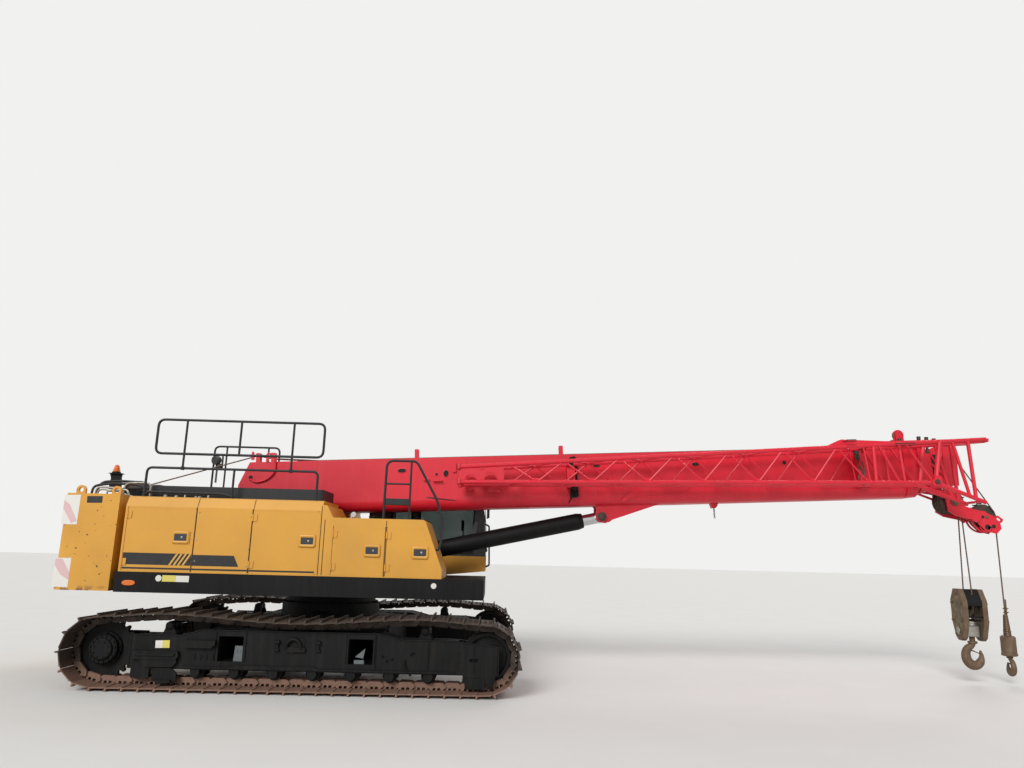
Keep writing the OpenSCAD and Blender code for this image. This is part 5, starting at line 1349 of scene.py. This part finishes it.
class CRANE_OT_hooks(bpy.types.Operator):
    """Builds the hook block, both hooks with their latches, and the wedge and weight of the second line"""
    bl_idname = "crane.hooks"
    bl_label = "Hooks"

    def execute(self, context):
        head = boom_point(HEAD[0], 0, HEAD[1])
        nose = boom_point(NOSE[0], 0, NOSE[1])
        block_x, nose_x = head.x + 0.1685, nose.x + 0.1905
        # The block has turned on its ropes, so that it shows the gap between its cheeks
        yaw = math.radians(-101)

        def hung(x0, turn, z0=0):
            """Places points round an upright line at x0, in metres, that is turned about itself"""
            c, s = math.cos(turn), math.sin(turn)
            return lambda x, y, z: Vector((x0 + (x * c - y * s) * MM, (x * s + y * c) * MM, (z0 + z) * MM))

        at_block, at_weight = hung(block_x, yaw), hung(nose_x, 0)
        for name, body, top, size, turn, centre in (("main_hook_shape", "hook", 609.7, 300, -8, block_x),
                                                    ("second_hook_shape", "second_hook", 399.7, 205, 84, nose_x)):
            spot = hung(centre, math.radians(turn), top)
            form, latch = Form(spot), Form(spot)
            rows = hook_line(size)
            rings = []
            for i, (x, z, wide, deep) in enumerate(rows):
                x0, z0 = rows[max(0, i - 1)][:2]
                x1, z1 = rows[min(len(rows) - 1, i + 1)][:2]
                along = Vector((x1 - x0, z1 - z0)).normalized()
                out = Vector((-along.y, along.x))
                # A forged hook is broad at the inside of its bend and narrow at the outside
                rings.append([(x + out.x * wide * c, deep * s * (1 - 0.22 * c * min(1, i / 6)), z + out.y * wide * c)
                              for c, s in circle(16, 1)])
            form.sweep(rings)
            form.turned((0, 0, -0.02 * size), (0, 0, -1),
                        [(0.2 * size, 0), (0.22 * size, 4), (0.22 * size, 0.1 * size), (0.16 * size, 0.13 * size)], 24)
            make_piece(name, form, "rusty_hook_steel", body, replaces=("main_hook" if body == "hook" else "aux_hook",),
                       smooth=60)
            x, z = -0.04 * size, -0.48 * size
            for dy in (-0.085 * size, 0.085 * size):
                latch.rod((x, dy, z), (0.44 * size, dy * 0.5, -0.66 * size), 0.02 * size, sides=8)
            latch.rod((x, -0.17 * size, z), (x, 0.17 * size, z), 0.03 * size, sides=10)
            latch.sweep([[(0.04 * size, dy, -0.5 * size), (0.4 * size, dy * 0.6, -0.64 * size),
                          (0.4 * size, dy * 0.6, -0.66 * size), (0.04 * size, dy, -0.53 * size)]
                         for dy in (-0.07 * size, 0.07 * size)])
            make_piece(f"{name}_latch", latch, "worn_sheave_steel", body, smooth=40)

        # Thick cheeks with a raised rim, faces of flaking enamel and bolts
        outline = [(-110, 230), (110, 230), (240, 60), (240, -250), (130, -480), (60, -520), (-60, -520), (-130, -480),
                   (-240, -250), (-240, 60)]
        inner = [(x * 0.86, z * 0.86 - 18) for x, z in outline]
        cheeks, faces, axle = Form(at_block), Form(at_block), at_block(0, 1, 0) - at_block(0, 0, 0)
        for s in (-1, 1):
            cheeks.sweep([[(x * k, s * y, 1130 + z * k) for x, z in line] for line, y,
                          k in ((outline, 99, 0.985), (outline, 103, 1), (outline, 166, 1), (outline, 170, 0.985),
                                (inner, 170, 1), (inner, 165, 1))])
            faces.sweep([[(x, s * y, 1130 + z) for x, z in inset(inner[::-1], 3)] for y in (165.2, 167)])
            for x, z in ((0, 160), (-170, 20), (170, 20), (-170, -230), (170, -230), (-80, -430), (80, -430)):
                cheeks.turned((x, s * 166.5, 1130 + z), axle * s, [(24, 0), (24, 14), (14, 16), (14, 30), (4, 31)], 6)
        make_piece("block_cheeks", cheeks, "rusty_hook_steel", "main_block", replaces=("hook_block",), bevel=2)
        make_piece("block_faces", faces, "flaking_enamel", "main_block")

        middle = Form(at_block)
        for s in (-1, 1):
            # Bent rope cover at the top of each open side, and the bar that keeps the rope in below it
            middle.sweep([[(s * x, y, 1130 + z) for x,
                           z in ((96, 204), (110, 226), (238, 58), (238, -10), (228, -10), (228, 52))]
                          for y in (-98.6, 98.6)])
            middle.rod((s * 226, -100, 964), (s * 226, 100, 964), 13, sides=12)
            middle.rod((s * 120, -100, 905), (s * 120, 100, 905), 12, sides=12)
        middle.turned((0, 0, 1130), axle, [(58, -98.5), (58, -60), (82, -56), (82, -40), (58, -38), (58, 38), (82, 40),
                                           (82, 56), (58, 60), (58, 98.5)], 32)
        make_piece("block_covers", middle, "black_enamel", "main_block", bevel=2, smooth=40)
        wheel = Form(at_block)
        wheel.turned((0, 0, 1130), axle, [(58.5, -34), (70, -34), (76, -14), (150, -12), (186, -28), (198, -30),
                                          (200, -22), (161, -9), (159.5, 0), (161, 9), (200, 22), (198, 30), (186, 28),
                                          (150, 12), (76, 14), (70, 34), (58.5, 34)], 56)
        make_piece("block_sheave", wheel, "worn_sheave_steel", "main_block", smooth=40)
        # The nut is white film: a painted highlight on its steel
        nut = Form(at_block)
        nut.turned((0, 0, 832.5), (0, 0, 1), [(54, 0), (54, 26), (46, 44), (28, 56), (6, 60)], 28)
        make_piece("block_hook_nut_highlight", nut, "white_film", "main_block", smooth=50)
        shank = Form(at_block)
        shank.sweep([[(x, y, z) for x, y in round_rect(0, 0, w, 197, 30)] for z,
                     w in ((667, 150), (680, 170), (818, 170), (832, 150))])
        for s in (-1, 1):
            shank.turned((0, s * 170.5, 748), axle * s, [(58, 0), (58, 14), (44, 18), (10, 18)], 28)
        make_piece("block_trunnion", shank, "zinc_steel", "main_block", bevel=4)

        # The rope comes down from the head, round the block's sheave and back up
        falls = Form()
        turn = [(170.8 * math.cos(t), 170.8 * math.sin(t)) for t in (-math.pi * k / 20 for k in range(21))]
        way = [Vector((block_x, -0.033, head.z))] + [at_block(x, 0, 1130 + z) for x,
                                                     z in turn] + [Vector((block_x, 0.033, head.z))]
        falls.pipe(way, context.scene.crane_sizes.rope / MM, 10)
        make_piece("main_rope_falls", falls, "greased_rope", "main_block", replaces=("main_falls",), smooth=60)

        # Rope wedge above the round weight, its clamp, and the weight's rims
        wedge = Form(at_weight)
        wedge.sweep([[(x, y, z) for x, y in round_rect(0, 0, w * 1.6, w * 1.2, w * 0.35)] for z,
                     w in ((720, 56), (840, 51.52), (990, 34), (1006, 20.4))])
        wedge.rod((0, -75, 760), (0, 75, 760), 17, sides=14)
        for z in (1020, 1075):
            wedge.along_z(round_rect(10, 0, 62, 36, 10), z, z + 20)
            for y in (-12, 12):
                wedge.rod((-12, y, z + 10), (55, y, z + 10), 5, sides=6)
        wedge.rod((22, 0, 980), (26, 0, 1220), 10, sides=10)
        make_piece("rope_wedge", wedge, "rusty_hook_steel", "second_line", bevel=2)
        ball = Form(at_weight)
        ball.turned((0, 0, 400), (0, 0, 1), [(40, 0), (88, 2), (108, 10), (110, 22), (108, 40), (103, 46), (103, 270),
                                             (100, 280), (92, 284), (46, 286), (46, 318), (28, 322)], 48)
        for x, y in circle(4, 72, start=math.pi / 4):
            ball.turned((x, y, 684), (0, 0, 1), [(12, -4), (12, 10), (7, 12)], 6)
        make_piece("second_line_weight", ball, "rusty_hook_steel", "second_line", replaces=("aux_weight",), smooth=35)
        return {"FINISHED"}


# ---------------------------------------------------------------- undercarriage


class CRANE_OT_running_gear(bpy.types.Operator):
    """Adds bolts, ribs, labels and tie-downs to the track frames and the body between them"""
    bl_idname = "crane.running_gear"
    bl_label = "Running gear"

    def execute(self, context):
        for side, name in ((-1, "right"), (1, "left")):
            middle = side * GAUGE / 2
            face = middle + side * 200
            body = f"{name}_track"
            bolts = Form()
            for count, radius, out, r, h in ((16, 152, -46, 12, 14), (8, 92, -2, 9, 10), (14, 186, -118, 12, 12)):
                for x, z in circle(count, radius, SPROCKET_X, WHEEL_Z, math.pi / count):
                    at = crane(x, face + side * (out - 18), z)
                    bolts.rod(at, at + Vector((0, side * h * MM, 0)), r, sides=6)
            bolts.turned((SPROCKET_X + 66, face - side * 62, WHEEL_Z + 66), (0, side, 0),
                         [(26, -10), (26, 22), (18, 26), (6, 26)], 12)
            make_piece(f"hub_bolts_{name}", bolts, "black_enamel", body)

            gear = Form()
            slab = lambda outline, y0, y1: gear.prism(outline, face + side * y0, face + side * y1)
            # Welded flange along the top edge and the upright seams
            top = [(-2008, 634), (-1390, 634), (-1140, 704), (1020, 704), (1300, 637), (1930, 637), (2488, 576)]
            for a, b in zip(top, top[1:]):
                gear.rod((a[0], face - side * 4, a[1]), (b[0], face - side * 4, b[1]), 11, sides=8)
            for x, z0, z1 in ((-1985, 262, 622), (988, 292, 690), (1628, 287, 628), (2185, 280, 592), (2470, 262, 560),
                              (-600, 345, 690), (-965, 345, 690),
                              (622, 345, 692), (972, 345, 692)):
                gear.rod((x, face + side * 1, z0), (x, face + side * 1, z1), 6, sides=6)
            slab([(-1905, 400), (-1440, 400), (-1420, 430), (-1885, 430)], 50, 78)
            slab([(-1780, 270), (-1450, 270), (-RAIL_Y, 330), (-1420, 380), (-1868, 380), (-1850, 330)], 0.5, 46)
            slab([(-1690, 210), (-1640, 265), (-1470, 265), (-RAIL_Y, 205), (-1395, 108), (-1608, 80), (-1686, 112)],
                 -6, 22)
            slab([(-1650, 120), (-1450, 124), (-1456, 92), (-1600, 84)], 22, 60)
            slab([(2075, 214), (2320, 214), (2322, 92), (2082, 88)], -4, 18)
            slab([(2352, 214), (2418, 214), (2418, 96), (2356, 94)], -4, 10)
            # Tie-down: an arch over a ledge, between two ribbed lugs
            arch = [crane(-20 + 92 * math.cos(t), face + side * (22 + 14 * math.sin(t)), 508 + 118 * math.sin(t))
                    for t in (math.pi * k / 12 for k in range(13))]
            gear.pipe(arch, 23, 12)
            slab(round_rect(10, 500, 240, 56, 20), 0.5, 34)
            slab(round_rect(66, 560, 96, 150, 30), 0.5, 12)
            for x in (-222, 276):
                slab(round_rect(x, 590, 74, 34, 10), 0.5, 52)
                slab(round_rect(x, 496, 66, 30, 10), 0.5, 40)
                slab(round_rect(x + 4, 545, 32, 110, 8), 0.5, 26)
            # Grease fittings, their guards and a hanging lead
            for x, z in ((-1975, 420), (-1925, 450), (-1960, 372), (1068, 446), (1120, 400), (1180, 416), (1440, 492),
                         (1412, 476)):
                gear.turned((x, face + side * 0.5, z), (0, side, 0), [(16, 0), (16, 14), (9, 16), (9, 26), (4, 30)], 10)
            gear.tube([(1338, face + side * 16, 410), (1345, face + side * 22, 330), (1392, face + side * 18, 268),
                       (1424, face + side * 10, 226)], 40, 14, 8)
            for k in range(4):
                slab(round_rect(-1210 + 74 * k, 392, 22, 70, 9), 0.5, 10)
            # Side of the carrier rollers' arms
            for x in (-CARRIER_X, CARRIER_X):
                slab([(x - 86, 632), (x - 60, 700), (x - 30, 760), (x + 30, 760), (x + 60, 700), (x + 86, 632)], -84,
                     -66)
                gear.turned((x, middle + side * 137, 742), (0, side, 0), [(48, 0), (48, 18), (34, 28), (12, 32)], 24)
            # Recoil unit's end and bolted side guards of the idler
            for dz in (-60, 60):
                gear.turned((1990, face - side * 8, 450 + dz), (0, side, 0), [(18, 0), (18, 12), (6, 16)], 6)
            make_piece(f"frame_fittings_{name}", gear, "black_enamel", body, bevel=3, smooth=40)

            # Ends of the axle beams, seen through the frame
            ends = Form()
            ends.prism([(-747, 346), (-637, 346), (-637, 526), (-735, 528)], face - side * 46, face - side * 18)
            for x in (-710, -668):
                ends.prism(round_rect(x, 470, 18, 44, 8), face - side * 18, face - side * 12)
            ends.prism([(718, 346), (842, 346), (838, 392), (718, 390)], face - side * 60, face - side * 22)
            ends.prism([(725, 427), (848, 528), (828, 410)], face - side * 44, face - side * 34)
            make_piece(f"beam_end_blocks_{name}", ends, "engine_enamel", body, bevel=2)
            for tint, outline in (("white", [(-1697, 570), (-1612, 574), (-1608, 486), (-1693, 483)]),
                                  ("yellow", [(-1612, 574), (-1527, 577), (-1521, 488), (-1608, 486)])):
                card = Form()
                card.prism(outline, face + side * 1.8, face + side * 0.3)
                make_piece(f"frame_label_{tint}_{name}", card, f"{tint}_film", body)

        body = Form()
        for x, y in circle(40, 668):
            body.rod((x, y, 960.3), (x, y, 982), 13, sides=6)
        # Flanges round the sleeves' mouths
        rim, hole = round_rect(0, 0, 420, 414, 20), round_rect(0, 0, 362, 356, 8)
        for x in (-785, 797):
            for side in (-1, 1):
                body.sweep([[(x + dx, side * (1001 + out), 495 + dz) for dx, dz in line] for line,
                            out in ((rim, 0), (rim, 18), (hole, 18), (hole, 0))], closed=True)
        for side in (-1, 1):
            body.sweep([[(x, side * y, z) for x, z in ((-150, 760), (150, 760), (120, 690), (-120, 690))]
                        for y in (700.5, 760)])
            for dx in (-90, -30, 30, 90):
                body.tube([(dx, side * 640, 850), (dx, side * 740, 860), (dx * 1.3, side * 770, 760),
                           (dx * 1.5, side * 762, 660)], 60, 13, 8)
        make_piece("carbody_fittings", body, "black_enamel", "undercarriage", smooth=40)
        return {"FINISHED"}


# ---------------------------------------------------------------- studio


class CRANE_OT_studio(bpy.types.Operator):
    """Sets the camera, the lamps, the pale floor and the background"""
    bl_idname = "crane.studio"
    bl_label = "Studio"

    def execute(self, context):
        scene = context.scene
        studio = scene.crane_studio
        # The camera stands beside the crane at eye height and looks slightly up, leaning a little
        pitch, roll, yaw = math.radians(12.49), math.radians(1.45), math.radians(1.0)
        ahead = Vector((math.sin(yaw) * math.cos(pitch), math.cos(yaw) * math.cos(pitch), math.sin(pitch)))
        level = Vector((math.cos(yaw), -math.sin(yaw), 0))
        right = level * math.cos(roll) + level.cross(ahead) * math.sin(roll)
        up = right.cross(ahead)
        data = bpy.data.cameras.new("camera")
        data.lens = studio.lens
        data.sensor_width = 36
        data.clip_end = 500
        camera = bpy.data.objects.new("camera", data)
        turn = Matrix((right, up, -ahead)).transposed().to_4x4()
        camera.matrix_world = Matrix.Translation(crane(2390, -11920, 1700)) @ turn
        scene.collection.objects.link(camera)
        scene.camera = camera

        tree, shader, place = new_material("pale_floor")
        fill(shader, {"Base Color": mixed(tree, noise(tree, place, 900, 3), rgba(studio.floor), rgba("#E2E1DE")),
                      "Roughness": 0.85})
        mesh = bpy.data.meshes.new("floor")
        half = 120
        mesh.from_pydata([(-half, -half, 0), (half, -half, 0), (half, half, 0), (-half, half, 0)], [], [(0, 1, 2, 3)])
        mesh.materials.append(bpy.data.materials["pale_floor"])
        floor = bpy.data.objects.new("floor", mesh)
        scene.collection.objects.link(floor)

        world = bpy.data.worlds.new("studio")
        scene.world = world
        world.use_nodes = True
        tree = world.node_tree
        tree.nodes.clear()
        path = add_node(tree, "ShaderNodeLightPath")
        seen = joined(tree, path.outputs["Is Camera Ray"], path.outputs["Is Glossy Ray"], "MAXIMUM")
        seen = joined(tree, seen, path.outputs["Is Transmission Ray"], "MAXIMUM")
        light = add_node(tree, "ShaderNodeBackground", None, {"Color": (1, 1, 1, 1), "Strength": studio.fill})
        shown = add_node(tree, "ShaderNodeBackground", None, {"Color": rgba(studio.backdrop), "Strength": 1.0})
        both = add_node(tree, "ShaderNodeMixShader", None,
                        {"Fac": seen, 1: light.outputs["Background"], 2: shown.outputs["Background"]})
        add_node(tree, "ShaderNodeOutputWorld", None, {"Surface": both.outputs["Shader"]})

        # Two broad lamps, far off, so that a machine of this length is lit evenly from end to end
        for name, toward, power in (("key", Vector((0.40, 0.95, -0.62)), studio.key),
                                    ("rear", Vector((-0.5, -0.9, -0.7)), studio.key * 0.3)):
            lamp = bpy.data.lights.new(name, "SUN")
            lamp.angle = math.radians(26)
            lamp.energy = power
            holder = bpy.data.objects.new(name, lamp)
            holder.rotation_euler = toward.to_track_quat("-Z", "Y").to_euler()
            scene.collection.objects.link(holder)
        scene.view_settings.view_transform = "Standard"
        return {"FINISHED"}


# ---------------------------------------------------------------- panel


OPERATORS = (CRANE_OT_studio, CRANE_OT_finishes, CRANE_OT_tracks, CRANE_OT_running_gear, CRANE_OT_markings,
             CRANE_OT_house_fittings, CRANE_OT_deck_gear, CRANE_OT_cab_fittings, CRANE_OT_boom_fittings,
             CRANE_OT_ropes, CRANE_OT_head_fittings, CRANE_OT_jib_fittings, CRANE_OT_hooks)


class CRANE_PT_panel(bpy.types.Panel):
    """Lists the sizes, the colours and the steps"""
    bl_idname = "CRANE_PT_panel"
    bl_label = "Crawler crane"
    bl_space_type = "VIEW_3D"
    bl_region_type = "UI"
    bl_category = "Crane"

    def draw(self, context):
        for group in ("crane_paint", "crane_sizes", "crane_studio"):
            box = self.layout.box()
            settings = getattr(context.scene, group)
            for name in settings.bl_rna.properties.keys():
                if name not in ("rna_type", "name"):
                    box.prop(settings, name)
        for operator in OPERATORS:
            self.layout.operator(operator.bl_idname)


CLASSES = (CranePaint, CraneSizes, CraneStudio, *OPERATORS, CRANE_PT_panel)


def register():
    for item in CLASSES:
        bpy.utils.register_class(item)
    bpy.types.Scene.crane_paint = PointerProperty(type=CranePaint)
    bpy.types.Scene.crane_sizes = PointerProperty(type=CraneSizes)
    bpy.types.Scene.crane_studio = PointerProperty(type=CraneStudio)


def unregister():
    del bpy.types.Scene.crane_studio
    del bpy.types.Scene.crane_sizes
    del bpy.types.Scene.crane_paint
    for item in reversed(CLASSES):
        bpy.utils.unregister_class(item)


def main():
    register()
    bpy.ops.crane.studio()
    bpy.ops.crane.finishes()
    bpy.ops.crane.tracks()
    bpy.ops.crane.running_gear()
    bpy.ops.crane.markings()
    bpy.ops.crane.house_fittings()
    bpy.ops.crane.deck_gear()
    bpy.ops.crane.cab_fittings()
    bpy.ops.crane.boom_fittings()
    bpy.ops.crane.ropes()
    bpy.ops.crane.head_fittings()
    bpy.ops.crane.jib_fittings()
    bpy.ops.crane.hooks()


if __name__ == "__main__":
    main()
